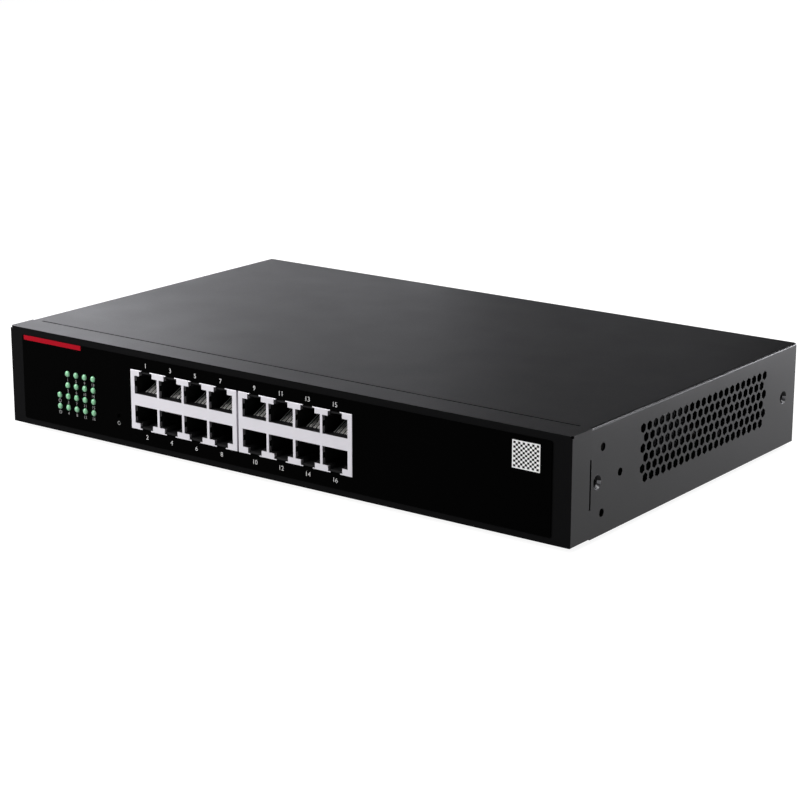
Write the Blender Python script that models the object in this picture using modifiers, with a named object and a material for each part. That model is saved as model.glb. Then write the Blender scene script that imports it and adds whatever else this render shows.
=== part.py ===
"""Desktop network switch in a folded steel case, built piece by piece as it comes apart on a bench."""
import math

import bmesh
import bpy
from mathutils import Matrix, Vector

MM = 0.001

# Case sheet metal
CASE_WIDTH = 294 * MM
CASE_DEPTH = 180 * MM
CASE_HEIGHT = 44 * MM
SHEET = 0.8 * MM
BEND_RADIUS = 1.2 * MM
SIDE_DROP = 0.45 * MM
FRONT_RETURN = 13.7 * MM
REAR_LIP = 9 * MM

# Clearances
SEAT_GAP = 0.3 * MM
SEAM = 0.1 * MM
ADHESIVE = 0.1 * MM

# Seam between the cover and the front wall: a notch along the cover's top, slits in the wall's side returns
TOP_NOTCH = 0.85 * MM
TOP_NOTCH_INSET = 5.5 * MM
SIDE_SLIT = 1.0 * MM
SIDE_SLIT_LENGTH = 19.9 * MM
CORNER_RELIEF = 1.3 * MM

# Side grille of hexagonal holes
VENT_PITCH = 4.76 * MM
VENT_FLATS = 3.55 * MM
VENT_COLUMNS = 22
VENT_ROWS = 6
VENT_START = 51.5 * MM
VENT_BOTTOM_ROW = 14.95 * MM

# Cover screws in sunk seats, by distance from the front and the rear, and rack ear holes from the front
COVER_SCREW_FRONT = 18.1 * MM
COVER_SCREW_REAR = 10.6 * MM
COVER_SCREW_HEIGHT = 21.9 * MM
SCREW_SEAT_RADIUS = 2.9 * MM
SCREW_SEAT_DEPTH = 1.8 * MM
SCREW_HEAD_SINK = 0.6 * MM
COVER_SCREW_RADIUS = 1.4 * MM
COVER_SCREW_LENGTH = 7 * MM
TAB_WIDTH = 12 * MM
TAB_RISE = 6 * MM
EAR_HOLE_RADIUS = 1.7 * MM
EAR_HOLE_MIDDLE = 34.8 * MM
EAR_HOLE_PAIR = 21.8 * MM
EAR_HOLE_SPREAD = 13.1 * MM
EAR_HOLE_HEIGHT = 22 * MM

# Feet
FOOT_HEIGHT = 2 * MM
FOOT_RADIUS = 6 * MM
FOOT_INSET = 17 * MM
FOOT_EDGE = 0.6 * MM

# Front overlay film
FILM = 0.3 * MM
FILM_LEFT = 7.5 * MM
FILM_RIGHT = 8.7 * MM
FILM_BOTTOM = 3 * MM
FILM_HEIGHT = 37.7 * MM
FILM_CORNER = 1 * MM

# Jack blocks: two rows of ports, latches facing away from the middle bar
JACK_START = 72.2 * MM
JACK_WIDTH = 59.2 * MM
JACK_HEIGHT = 26.05 * MM
JACK_DEPTH = 25.4 * MM
JACK_BOTTOM = 9.35 * MM
JACK_GAP = 0.9 * MM
JACK_PROUD = 0.5 * MM
SHIELD = 0.25 * MM
PORT_COLUMNS = 4
PORT_PITCH = 13.97 * MM
PORT_WIDTH = 12.75 * MM
PORT_STEP_WIDTH = 7.3 * MM
PORT_SLOT_WIDTH = 5 * MM
MIDDLE_BAR = 5.1 * MM
PORT_HEIGHT = 7.85 * MM
PORT_STEP_HEIGHT = 2.2 * MM
SLOT_CUT_DEPTH = 3 * MM
CAVITY_WIDTH = 11.9 * MM
CAVITY_HEIGHT = 7.4 * MM
LATCH_WIDTH = 6.5 * MM
LATCH_HEIGHT = 1.7 * MM
CAVITY_DEPTH = 17.5 * MM
HOUSING_DEPTH = 20 * MM
MIDDLE_WEB = 5.4 * MM

# Spring contacts
CONTACT_COUNT = 8
CONTACT_PITCH = 1.02 * MM
CONTACT_WIDTH = 0.45 * MM
CONTACT_THICKNESS = 0.35 * MM
CONTACT_REACH = 6.2 * MM
CONTACT_SLOPE = math.radians(25)
TONGUE_WIDTH = 9 * MM
TONGUE_START = 3 * MM

# Light pipes
LENS_START = 34.6 * MM
LENS_PITCH = 5.08 * MM
LENS_BOTTOM_ROW = 11.9 * MM
LENS_COLUMNS = 4
LENS_ROWS = 4
STATUS_ROWS = 2
LENS_RADIUS = 1.35 * MM
LENS_HOLE_GAP = 0.15 * MM
LENS_PROUD = 0.6 * MM
PIPE_THICKNESS = 2 * MM
PIPE_FIRST_LEG = 6 * MM
PIPE_LEG_STEP = 4 * MM
PIPE_WEB = 1 * MM

# Reset switch behind its pin hole
RESET_PLACE = 64.7 * MM
RESET_HEIGHT = 13.2 * MM
RESET_HOLE_RADIUS = 1 * MM
RESET_BUTTON_RADIUS = 1.6 * MM
RESET_BUTTON_LENGTH = 4 * MM
RESET_BUTTON_PROUD = 1.5 * MM
RESET_BUTTON_GAP = 0.1 * MM
RESET_TIP_GAP = 1 * MM
RESET_STROKE = 0.3 * MM
RESET_BODY_WIDTH = 6 * MM
RESET_BODY_DEPTH = 5 * MM
RESET_BODY_WALL = 1.6 * MM

# Boards and their fasteners
BOARD_THICKNESS = 1.6 * MM
BOARD_LEFT = 18 * MM
BOARD_FRONT = 3 * MM
BOARD_DEPTH = 106 * MM
BOARD_RIGHT = 14 * MM
BOARD_GAP = 10 * MM
POWER_BOARD_DEPTH = 104 * MM
POWER_BOARD_SIDE = 12 * MM
POWER_BOARD_REAR = 32 * MM
BOARD_HOLE_INSET = 5 * MM
BOARD_SCREW_RADIUS = 1.3 * MM
BOARD_SCREW_LENGTH = 6 * MM
BOARD_SCREW_HEAD_RADIUS = 2.7 * MM
BOARD_SCREW_HEAD = 1.8 * MM
STANDOFF_RADIUS = 3 * MM

# Parts on the main board
CHIP_SIZE = 28 * MM
CHIP_HEIGHT = 2 * MM
HEAT_SINK_SIZE = 40 * MM
HEAT_SINK_BASE = 2.5 * MM
HEAT_SINK_HEIGHT = 12 * MM
FIN_COUNT = 8
FIN_THICKNESS = 1.4 * MM
CHIP_BEHIND_JACKS = 46 * MM
MAGNETICS_COUNT = 4
MAGNETICS_WIDTH = 27 * MM
MAGNETICS_DEPTH = 15 * MM
MAGNETICS_HEIGHT = 6 * MM
MAGNETICS_CHAMFER = 0.8 * MM
MAGNETICS_BEHIND_JACKS = 4 * MM

# Parts on the power board, by distance from its rear edge
CAPACITOR_RADIUS = 9 * MM
CAPACITOR_HEIGHT = 25 * MM
CAPACITOR_PLACE = 44 * MM
TRANSFORMER_WIDTH = 28 * MM
TRANSFORMER_DEPTH = 25 * MM
TRANSFORMER_HEIGHT = 22 * MM
TRANSFORMER_PLACE = 72 * MM
BOBBIN_LIP = 2 * MM
CHOKE_RADIUS = 7 * MM
CHOKE_WIRE_RADIUS = 3.2 * MM
CHOKE_PLACE = 20 * MM
FUSE_RADIUS = 2.6 * MM
FUSE_LENGTH = 20 * MM
FUSE_CAP = 5 * MM
FUSE_PLACE = 6 * MM
HEAT_PLATE_LENGTH = 27 * MM
HEAT_PLATE_HEIGHT = 20 * MM
HEAT_PLATE_FOOT = 7 * MM
HEAT_PLATE_THICKNESS = 1.5 * MM
HEAT_PLATE_PLACE = 58.5 * MM

# Mains inlet and earth screw in the rear wall
INLET_HEIGHT = 21 * MM
INLET_FLANGE_WIDTH = 31 * MM
INLET_FLANGE_HEIGHT = 24 * MM
INLET_FLANGE = 2 * MM
INLET_BODY_WIDTH = 27 * MM
INLET_BODY_HEIGHT = 20 * MM
INLET_BODY_DEPTH = 20 * MM
INLET_CAVITY_WIDTH = 24.2 * MM
INLET_CAVITY_HEIGHT = 16.4 * MM
INLET_CAVITY_DEPTH = 17 * MM
INLET_CHAMFER = 4.5 * MM
PIN_SPREAD = 7 * MM
PIN_RISE = 2 * MM
PIN_THICKNESS = 2 * MM
PIN_WIDTH = 4 * MM
PIN_SHORT_OF_MOUTH = 1.5 * MM
PIN_TAIL = 6 * MM
EARTH_SCREW_PLACE = 30 * MM
EARTH_SCREW_RADIUS = 2 * MM
EARTH_SCREW_HEAD_RADIUS = 4 * MM
EARTH_SCREW_LENGTH = 8 * MM

# Low-voltage lead between the boards
PLUG_WIDTH = 10 * MM
PLUG_DEPTH = 6 * MM
PLUG_HEIGHT = 8 * MM
PLUG_INSET = 8 * MM
LEAD_PLACE = 13.5 * MM
LEAD_RADIUS = 1.5 * MM
LEAD_RISE = 9 * MM
LEAD_POINTS = 11

# Faces around a round piece
ROUND_SIDES = 12
HOLE_SIDES = 8
HEXAGON = 6

# Levels and faces worked out from the sizes above
FRONT_PROUD = ADHESIVE + FILM + LENS_PROUD
FRONT = -CASE_DEPTH / 2 + (FRONT_PROUD - INLET_FLANGE) / 2
REAR = FRONT + CASE_DEPTH
LEFT = -CASE_WIDTH / 2
RIGHT = CASE_WIDTH / 2
BOTTOM = FOOT_HEIGHT
TOP = BOTTOM + CASE_HEIGHT
TRAY_BOTTOM = BOTTOM + SIDE_DROP
FLOOR = TRAY_BOTTOM + SHEET
WALL_INSIDE = FRONT + SHEET
TRAY_RIGHT = RIGHT - SHEET - SEAT_GAP
TRAY_TOP = TOP - SHEET - SEAT_GAP
TAB_FACE = RIGHT - SCREW_SEAT_DEPTH - SEAT_GAP
COVER_FRONT = FRONT + FRONT_RETURN + SEAM
JACK_FRONT = FRONT - JACK_PROUD
JACK_REAR = JACK_FRONT + JACK_DEPTH
JACK_MIDDLE = BOTTOM + JACK_BOTTOM + JACK_HEIGHT / 2
JACKS_LEFT = LEFT + JACK_START
JACKS_RIGHT = JACKS_LEFT + 2 * JACK_WIDTH + JACK_GAP
HOUSING_FRONT = JACK_FRONT + SHIELD + SEAT_GAP
BOARD_TOP = BOTTOM + JACK_BOTTOM - SEAT_GAP
BOARD_UNDER = BOARD_TOP - BOARD_THICKNESS
ON_BOARD = BOARD_TOP + SEAT_GAP
MAIN_LEFT = LEFT + BOARD_LEFT
MAIN_RIGHT = JACKS_RIGHT + BOARD_RIGHT
MAIN_FRONT = WALL_INSIDE + BOARD_FRONT
MAIN_BACK = MAIN_FRONT + BOARD_DEPTH
POWER_LEFT = MAIN_RIGHT + BOARD_GAP
POWER_RIGHT = RIGHT - POWER_BOARD_SIDE
POWER_WIDTH = POWER_RIGHT - POWER_LEFT
POWER_MIDDLE = (POWER_LEFT + POWER_RIGHT) / 2
POWER_BACK = REAR - POWER_BOARD_REAR
POWER_FRONT = POWER_BACK - POWER_BOARD_DEPTH
INLET_LEVEL = BOTTOM + INLET_HEIGHT
EARTH_SCREW_X = POWER_MIDDLE - EARTH_SCREW_PLACE

# Colours
CASE_PAINT = (0.032, 0.032, 0.034)
BLACK_FILM = (0.004, 0.004, 0.004)
BLACK_PLASTIC = (0.008, 0.008, 0.008)
PALE_PLATING = (0.74, 0.72, 0.76)
BARE_STEEL = (0.45, 0.45, 0.46)
GOLD_PLATING = (0.75, 0.55, 0.25)
GREEN_LENS = (0.12, 0.55, 0.27)
BLACK_RUBBER = (0.015, 0.015, 0.015)
GREEN_BOARD = (0.008, 0.04, 0.018)
BLACK_RESIN = (0.012, 0.012, 0.013)
BLACK_ANODISING = (0.03, 0.03, 0.032)
BLACK_TAPE = (0.02, 0.02, 0.022)
CAPACITOR_SLEEVE = (0.02, 0.03, 0.05)
BROWN_ENAMEL = (0.06, 0.03, 0.018)
CLEAR_GLASS = (0.7, 0.75, 0.75)
WHITE_NYLON = (0.75, 0.73, 0.68)
RED_LEAD = (0.5, 0.03, 0.02)


def make_collection(name):
    group = bpy.data.collections.new(name)
    bpy.context.scene.collection.children.link(group)
    return group


for leftover in list(bpy.data.objects):
    bpy.data.objects.remove(leftover, do_unlink=True)
PARTS = make_collection("network_switch")
CUTTERS = make_collection("network_switch_cutters")
CASE = bpy.data.objects.new("network_switch_case", None)
PARTS.objects.link(CASE)


# Shapes added to a bmesh

def add_box(bm, low, high):
    middle = (Vector(low) + Vector(high)) / 2
    size = Vector(high) - Vector(low)
    bmesh.ops.create_cube(bm, size=1, matrix=Matrix.Translation(middle) @ Matrix.Diagonal((*size, 1)))


def axis_frame(start, axis):
    """Matrix that takes +Z to the axis and the origin to the start."""
    turn = Vector((0, 0, 1)).rotation_difference(Vector(axis))
    return Matrix.Translation(start) @ turn.to_matrix().to_4x4()


def add_rod(bm, start, end, radius, end_radius=None, sides=ROUND_SIDES):
    """Closed cylinder or cone between two points."""
    along = Vector(end) - Vector(start)
    bmesh.ops.create_cone(
        bm, cap_ends=True, segments=sides, radius1=radius, radius2=radius if end_radius is None else end_radius,
        depth=along.length, matrix=axis_frame((Vector(start) + Vector(end)) / 2, along))


def add_turned(bm, profile, start, axis, sides=ROUND_SIDES):
    """Solid of revolution: (radius, distance along the axis) pairs that begin and end on the axis."""
    before = set(bm.verts)
    chain = [bm.verts.new((radius, 0, distance)) for radius, distance in profile]
    edges = [bm.edges.new(pair) for pair in zip(chain, chain[1:])]
    bmesh.ops.spin(bm, geom=chain + edges, cent=(0, 0, 0), axis=(0, 0, 1), angle=math.tau, steps=sides,
                   use_merge=True)
    fresh = [vert for vert in bm.verts if vert not in before]
    bmesh.ops.remove_doubles(bm, verts=fresh, dist=MM / 10000)
    fresh = [vert for vert in bm.verts if vert not in before]
    bmesh.ops.transform(bm, matrix=axis_frame(start, axis), verts=fresh)


def add_prism(bm, outline, sweep):
    """Closed prism: a flat outline of points swept by a vector."""
    face = bm.faces.new([bm.verts.new(point) for point in outline])
    swept = bmesh.ops.extrude_face_region(bm, geom=[face])
    moved = [item for item in swept["geom"] if isinstance(item, bmesh.types.BMVert)]
    bmesh.ops.translate(bm, verts=moved, vec=sweep)


# Objects, finishes and cuts

def link_mesh(name, bm, collection, smooth):
    bmesh.ops.recalc_face_normals(bm, faces=bm.faces)
    mesh = bpy.data.meshes.new(name)
    bm.to_mesh(mesh)
    bm.free()
    if smooth:
        mesh.shade_smooth()
        mesh.set_sharp_from_angle(angle=math.radians(40))
    piece = bpy.data.objects.new(name, mesh)
    collection.objects.link(piece)
    return piece


def finish(piece, colour, roughness, metallic):
    """Gives a piece its own material and hangs it on the case's empty."""
    material = bpy.data.materials.new(piece.name)
    material.use_nodes = True
    shader = material.node_tree.nodes["Principled BSDF"]
    shader.inputs["Base Color"].default_value = (*colour, 1)
    shader.inputs["Roughness"].default_value = roughness
    shader.inputs["Metallic"].default_value = metallic
    piece.data.materials.clear()
    piece.data.materials.append(material)
    piece.parent = CASE
    return piece


def add_part(name, bm, colour, roughness, metallic, smooth=False):
    return finish(link_mesh(name, bm, PARTS, smooth), colour, roughness, metallic)


def combine(piece, name, bm, operation, smooth=False):
    """Joins a hidden shape to a piece, or cuts it out of the piece."""
    guide = link_mesh(name, bm, CUTTERS, smooth)
    guide.hide_render = True
    guide.display_type = "WIRE"
    modifier = piece.modifiers.new(name, "BOOLEAN")
    modifier.operation = operation
    modifier.object = guide
    modifier.solver = "EXACT"


def thicken(piece, wall):
    """Grows an open outer skin inwards to a sheet."""
    modifier = piece.modifiers.new("sheet", "SOLIDIFY")
    modifier.thickness = wall
    modifier.offset = -1
    modifier.use_even_offset = True


def face_outwards(bm, up_test):
    """Turns an open skin so that the face picked by the test looks along its own side."""
    bm.normal_update()
    face, direction = up_test(bm)
    if face.normal.dot(direction) < 0:
        bmesh.ops.reverse_faces(bm, faces=bm.faces)


def link_skin(name, bm):
    """Open skins keep the winding they were given."""
    mesh = bpy.data.meshes.new(name)
    bm.to_mesh(mesh)
    bm.free()
    piece = bpy.data.objects.new(name, mesh)
    PARTS.objects.link(piece)
    return piece


def highest_face(bm):
    return max(bm.faces, key=lambda face: face.calc_center_median().z), Vector((0, 0, 1))


# Places that several pieces share

def lens_columns():
    """Name, X place and number of heads of each light pipe."""
    columns = [("light_pipe_status", LEFT + LENS_START - LENS_PITCH, STATUS_ROWS)]
    for column in range(LENS_COLUMNS):
        columns.append((f"light_pipe_{column + 1}", LEFT + LENS_START + column * LENS_PITCH, LENS_ROWS))
    return columns


def lens_level(row):
    return BOTTOM + LENS_BOTTOM_ROW + row * LENS_PITCH


def lens_places():
    return [(x, lens_level(row)) for _, x, rows in lens_columns() for row in range(rows)]


def cover_screw_places():
    """Name, side (-1 left, 1 right) and Y place of each cover screw."""
    places = []
    for side, side_name in ((-1, "left"), (1, "right")):
        for end_name, y in (("front", FRONT + COVER_SCREW_FRONT), ("rear", REAR - COVER_SCREW_REAR)):
            places.append((f"cover_screw_{side_name}_{end_name}", side, y))
    return places


def board_corners(low, high):
    """Screw places in the corners of a board given by two (x, y) corners."""
    inset = BOARD_HOLE_INSET
    return [(x, y) for x in (low[0] + inset, high[0] - inset) for y in (low[1] + inset, high[1] - inset)]


def main_board_screws():
    return board_corners((MAIN_LEFT, MAIN_FRONT), (MAIN_RIGHT, MAIN_BACK))


def power_board_screws():
    return board_corners((POWER_LEFT, POWER_FRONT), (POWER_RIGHT, POWER_BACK))


def jack_blocks():
    """Name and left edge of each jack block."""
    return [("left", JACKS_LEFT), ("right", JACKS_LEFT + JACK_WIDTH + JACK_GAP)]


def port_columns(block_left):
    """X places of a block's port columns, centred in the block."""
    first = block_left + JACK_WIDTH / 2 - PORT_PITCH * (PORT_COLUMNS - 1) / 2
    return [first + column * PORT_PITCH for column in range(PORT_COLUMNS)]


# Case sheet metal

def make_base_tray():
    """Floor, rear wall and lip bent from one strip, with the boxed front wall, screw tabs and standoffs."""
    lip_end = REAR - REAR_LIP
    bend_line = [(WALL_INSIDE, TRAY_BOTTOM), (REAR, TRAY_BOTTOM), (REAR, TRAY_TOP), (lip_end, TRAY_TOP)]
    bm = bmesh.new()
    chain = [bm.verts.new((-TRAY_RIGHT, y, z)) for y, z in bend_line]
    edges = [bm.edges.new(pair) for pair in zip(chain, chain[1:])]
    swept = bmesh.ops.extrude_edge_only(bm, edges=edges)
    moved = [item for item in swept["geom"] if isinstance(item, bmesh.types.BMVert)]
    bmesh.ops.translate(bm, verts=moved, vec=(2 * TRAY_RIGHT, 0, 0))
    face_outwards(bm, highest_face)
    tray = finish(link_skin("base_tray", bm), CASE_PAINT, 0.45, 0.3)
    thicken(tray, SHEET)

    box = bmesh.new()
    add_box(box, (LEFT, FRONT, TRAY_BOTTOM), (RIGHT, FRONT + FRONT_RETURN, TOP))
    inside = bmesh.new()
    add_box(inside, (LEFT + SHEET, WALL_INSIDE, FLOOR), (RIGHT - SHEET, FRONT + 2 * FRONT_RETURN, TOP - SHEET))
    front_wall = link_mesh("front_wall_box", box, CUTTERS, False)
    front_wall.hide_render = True
    front_wall.display_type = "WIRE"
    combine(front_wall, "front_wall_inside", inside, "DIFFERENCE")
    modifier = tray.modifiers.new("front_wall", "BOOLEAN")
    modifier.operation = "UNION"
    modifier.object = front_wall
    modifier.solver = "EXACT"

    fixings = bmesh.new()
    for _, side, y in cover_screw_places():
        faces = sorted((side * TAB_FACE, side * (TAB_FACE - SHEET)))
        top = BOTTOM + COVER_SCREW_HEIGHT + TAB_RISE
        add_box(fixings, (faces[0], y - TAB_WIDTH / 2, FLOOR - SHEET / 2), (faces[1], y + TAB_WIDTH / 2, top))
    for x, y in main_board_screws() + power_board_screws():
        add_rod(fixings, (x, y, FLOOR - SHEET / 2), (x, y, BOARD_UNDER - SEAT_GAP), STANDOFF_RADIUS,
                sides=HEXAGON)
    combine(tray, "tabs_and_standoffs", fixings, "UNION")

    holes = bmesh.new()
    add_front_holes(holes, FRONT - SHEET, WALL_INSIDE + SHEET)
    inlet_half = Vector((INLET_BODY_WIDTH / 2 + SEAT_GAP, SHEET, INLET_BODY_HEIGHT / 2 + SEAT_GAP))
    inlet = Vector((POWER_MIDDLE, REAR - SHEET / 2, INLET_LEVEL))
    add_box(holes, inlet - inlet_half, inlet + inlet_half)
    earth = Vector((EARTH_SCREW_X, REAR - SHEET / 2, INLET_LEVEL))
    through = Vector((0, SHEET, 0))
    add_rod(holes, earth - through, earth + through, EARTH_SCREW_RADIUS + SEAT_GAP, sides=HOLE_SIDES)
    for _, side, y in cover_screw_places():
        middle = Vector((side * (TAB_FACE - SHEET / 2), y, BOTTOM + COVER_SCREW_HEIGHT))
        across = Vector((SHEET, 0, 0))
        add_rod(holes, middle - across, middle + across, COVER_SCREW_RADIUS + SEAT_GAP, sides=HOLE_SIDES)
    for x, y in main_board_screws() + power_board_screws():
        add_rod(holes, (x, y, ON_BOARD - BOARD_SCREW_LENGTH - SEAT_GAP), (x, y, BOARD_UNDER),
                BOARD_SCREW_RADIUS + SEAT_GAP, sides=HOLE_SIDES)
    combine(tray, "tray_holes", holes, "DIFFERENCE")

    notches = bmesh.new()
    return_end = FRONT + FRONT_RETURN
    slit_low = BOTTOM + COVER_SCREW_HEIGHT - SIDE_SLIT_LENGTH / 2
    for side in (-1, 1):
        faces = sorted((side * (RIGHT + SHEET), side * (RIGHT - 2 * SHEET)))
        add_box(notches, (faces[0], return_end - SIDE_SLIT, slit_low),
                (faces[1], return_end + SHEET, slit_low + SIDE_SLIT_LENGTH))
        corner = Vector((side * RIGHT, FRONT, TOP))
        relief = Vector((CORNER_RELIEF, CORNER_RELIEF, CORNER_RELIEF))
        add_box(notches, corner - relief, corner + relief)
    combine(tray, "slits_and_reliefs", notches, "DIFFERENCE")


def add_front_holes(bm, front, back):
    """Jack window, light pipe holes and reset hole, as cutters between two Y faces."""
    add_box(bm, (JACKS_LEFT - SEAT_GAP, front, BOTTOM + JACK_BOTTOM - SEAT_GAP),
            (JACKS_RIGHT + SEAT_GAP, back, BOTTOM + JACK_BOTTOM + JACK_HEIGHT + SEAT_GAP))
    for x, z in lens_places():
        add_rod(bm, (x, front, z), (x, back, z), LENS_RADIUS + LENS_HOLE_GAP, sides=HOLE_SIDES)
    reset = (LEFT + RESET_PLACE, BOTTOM + RESET_HEIGHT)
    add_rod(bm, (reset[0], front, reset[1]), (reset[0], back, reset[1]), RESET_HOLE_RADIUS, sides=HOLE_SIDES)


def make_top_cover():
    """Top and both sides bent from one sheet, with sunk screw seats, rack ear holes, grille and front notch."""
    section = [(LEFT, BOTTOM), (LEFT, TOP), (RIGHT, TOP), (RIGHT, BOTTOM)]
    bm = bmesh.new()
    chain = [bm.verts.new((x, COVER_FRONT, z)) for x, z in section]
    edges = [bm.edges.new(pair) for pair in zip(chain, chain[1:])]
    swept = bmesh.ops.extrude_edge_only(bm, edges=edges)
    moved = [item for item in swept["geom"] if isinstance(item, bmesh.types.BMVert)]
    bmesh.ops.translate(bm, verts=moved, vec=(0, REAR - COVER_FRONT, 0))
    bends = [edge for edge in bm.edges if len(edge.link_faces) == 2]
    bmesh.ops.bevel(bm, geom=bends, offset=BEND_RADIUS, segments=3, profile=0.5, affect="EDGES", material=-1)
    face_outwards(bm, highest_face)
    cover = finish(link_skin("top_cover", bm), CASE_PAINT, 0.45, 0.3)
    thicken(cover, SHEET)

    dimples = bmesh.new()
    seats = bmesh.new()
    seat_slope = (SCREW_SEAT_RADIUS - COVER_SCREW_RADIUS - SEAT_GAP) / SCREW_SEAT_DEPTH
    hole = COVER_SCREW_RADIUS + SEAT_GAP
    for _, side, y in cover_screw_places():
        face = Vector((side * RIGHT, y, BOTTOM + COVER_SCREW_HEIGHT))
        inwards = Vector((-side, 0, 0))
        add_rod(dimples, face + inwards * SHEET / 2, face + inwards * SCREW_SEAT_DEPTH,
                SCREW_SEAT_RADIUS + SHEET, hole + SHEET)
        add_turned(seats, [(0, -SHEET), (SCREW_SEAT_RADIUS + seat_slope * SHEET, -SHEET),
                           (hole, SCREW_SEAT_DEPTH), (hole, SCREW_SEAT_DEPTH + SHEET),
                           (0, SCREW_SEAT_DEPTH + SHEET)], face, inwards)
    combine(cover, "screw_dimples", dimples, "UNION", smooth=True)
    combine(cover, "screw_seats", seats, "DIFFERENCE", smooth=True)

    vents = bmesh.new()
    corner = VENT_FLATS / math.sqrt(3)
    row_pitch = VENT_PITCH * math.sqrt(3) / 2
    for row in range(VENT_ROWS):
        short = row % 2 == 0
        for column in range(VENT_COLUMNS - short):
            y = FRONT + VENT_START + (column + short / 2) * VENT_PITCH
            z = BOTTOM + VENT_BOTTOM_ROW + row * row_pitch
            points = []
            for step in range(HEXAGON):
                angle = math.tau * (step + 0.5) / HEXAGON
                points.append((LEFT - SHEET, y + corner * math.cos(angle), z + corner * math.sin(angle)))
            add_prism(vents, points, (CASE_WIDTH + 2 * SHEET, 0, 0))
    ears = [(EAR_HOLE_MIDDLE, 0), (EAR_HOLE_PAIR, EAR_HOLE_SPREAD), (EAR_HOLE_PAIR, -EAR_HOLE_SPREAD)]
    for place, rise in ears:
        z = BOTTOM + EAR_HOLE_HEIGHT + rise
        add_rod(vents, (LEFT - SHEET, FRONT + place, z), (RIGHT + SHEET, FRONT + place, z), EAR_HOLE_RADIUS)
    add_box(vents, (LEFT + TOP_NOTCH_INSET, COVER_FRONT - SHEET, TOP - 2 * SHEET),
            (RIGHT - TOP_NOTCH_INSET, COVER_FRONT + TOP_NOTCH, TOP + SHEET))
    combine(cover, "vents_holes_and_notch", vents, "DIFFERENCE")


def make_front_overlay():
    """Thin film with round corners, cut for the jacks, light pipes and reset hole."""
    low = (LEFT + FILM_LEFT, BOTTOM + FILM_BOTTOM)
    high = (RIGHT - FILM_RIGHT, BOTTOM + FILM_BOTTOM + FILM_HEIGHT)
    back = FRONT - ADHESIVE
    bm = bmesh.new()
    corners = [(low[0], low[1]), (high[0], low[1]), (high[0], high[1]), (low[0], high[1])]
    add_prism(bm, [(x, back - FILM, z) for x, z in corners], (0, FILM, 0))
    upright = [edge for edge in bm.edges if abs(edge.verts[0].co.y - edge.verts[1].co.y) > FILM / 2]
    bmesh.ops.bevel(bm, geom=upright, offset=FILM_CORNER, segments=3, profile=0.5, affect="EDGES", material=-1)
    film = add_part("front_overlay", bm, BLACK_FILM, 0.35, 0)
    holes = bmesh.new()
    add_front_holes(holes, back - 2 * FILM, back + FILM)
    combine(film, "overlay_holes", holes, "DIFFERENCE")


def make_cover_screws():
    """Countersunk screws that sit just below the cover's faces and reach into the tray's tabs."""
    hole = COVER_SCREW_RADIUS + SEAT_GAP
    seat_slope = (SCREW_SEAT_RADIUS - hole) / SCREW_SEAT_DEPTH
    head_radius = SCREW_SEAT_RADIUS - seat_slope * SCREW_HEAD_SINK - SEAT_GAP
    for name, side, y in cover_screw_places():
        face = Vector((side * RIGHT, y, BOTTOM + COVER_SCREW_HEIGHT))
        bm = bmesh.new()
        add_turned(bm, [(0, SCREW_HEAD_SINK), (head_radius, SCREW_HEAD_SINK),
                        (COVER_SCREW_RADIUS, SCREW_SEAT_DEPTH), (COVER_SCREW_RADIUS, COVER_SCREW_LENGTH),
                        (0, COVER_SCREW_LENGTH)], face, (-side, 0, 0))
        add_part(name, bm, BARE_STEEL, 0.3, 1, smooth=True)


def make_feet():
    """Stick-on rubber pads under the floor's corners."""
    height = TRAY_BOTTOM - ADHESIVE
    for side, side_name in ((-1, "left"), (1, "right")):
        for y, end_name in ((FRONT + FOOT_INSET, "front"), (REAR - FOOT_INSET, "rear")):
            bm = bmesh.new()
            add_turned(bm, [(0, 0), (FOOT_RADIUS - FOOT_EDGE, 0), (FOOT_RADIUS, FOOT_EDGE), (FOOT_RADIUS, height),
                            (0, height)], (side * (RIGHT - FOOT_INSET), y, 0), (0, 0, 1))
            add_part(f"foot_{side_name}_{end_name}", bm, BLACK_RUBBER, 0.8, 0, smooth=True)


# Jack blocks

def port_outline(x, row, half_width, low, full, step_half, step, slot_half, slot):
    """Stepped port outline in X and Z: row 1 is above the middle bar, row -1 below it."""
    right_side = [(half_width, low), (half_width, full), (step_half, full), (step_half, step)]
    if slot > step:
        right_side += [(slot_half, step), (slot_half, slot)]
    left_side = [(-across, up) for across, up in reversed(right_side)]
    return [(x + across, JACK_MIDDLE + row * up) for across, up in right_side + left_side]


def add_ports(bm, block_left, front, sweep, **sizes):
    for x in port_columns(block_left):
        for row in (1, -1):
            outline = [(across, front, up) for across, up in port_outline(x, row, **sizes)]
            add_prism(bm, outline, (0, sweep, 0))


def make_jack_shield(name, block_left):
    """Plated can, open to the board, with the stepped port openings in its face."""
    low = (block_left, JACK_FRONT, BOTTOM + JACK_BOTTOM)
    high = (block_left + JACK_WIDTH, JACK_REAR, BOTTOM + JACK_BOTTOM + JACK_HEIGHT)
    bm = bmesh.new()
    add_box(bm, low, high)
    under = min(bm.faces, key=lambda face: face.calc_center_median().z)
    bmesh.ops.delete(bm, geom=[under], context="FACES_ONLY")
    face_outwards(bm, highest_face)
    shield = finish(link_skin(f"jack_shield_{name}", bm), PALE_PLATING, 0.35, 0.6)
    thicken(shield, SHIELD)
    cuts = bmesh.new()
    bar = MIDDLE_BAR / 2
    add_ports(cuts, block_left, JACK_FRONT - SLOT_CUT_DEPTH, 2 * SLOT_CUT_DEPTH,
              half_width=PORT_WIDTH / 2, low=bar, full=bar + PORT_HEIGHT, step_half=PORT_STEP_WIDTH / 2,
              step=bar + PORT_HEIGHT + PORT_STEP_HEIGHT, slot_half=PORT_SLOT_WIDTH / 2,
              slot=JACK_HEIGHT / 2 + 2 * SHIELD)
    combine(shield, f"port_openings_{name}", cuts, "DIFFERENCE")


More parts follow.
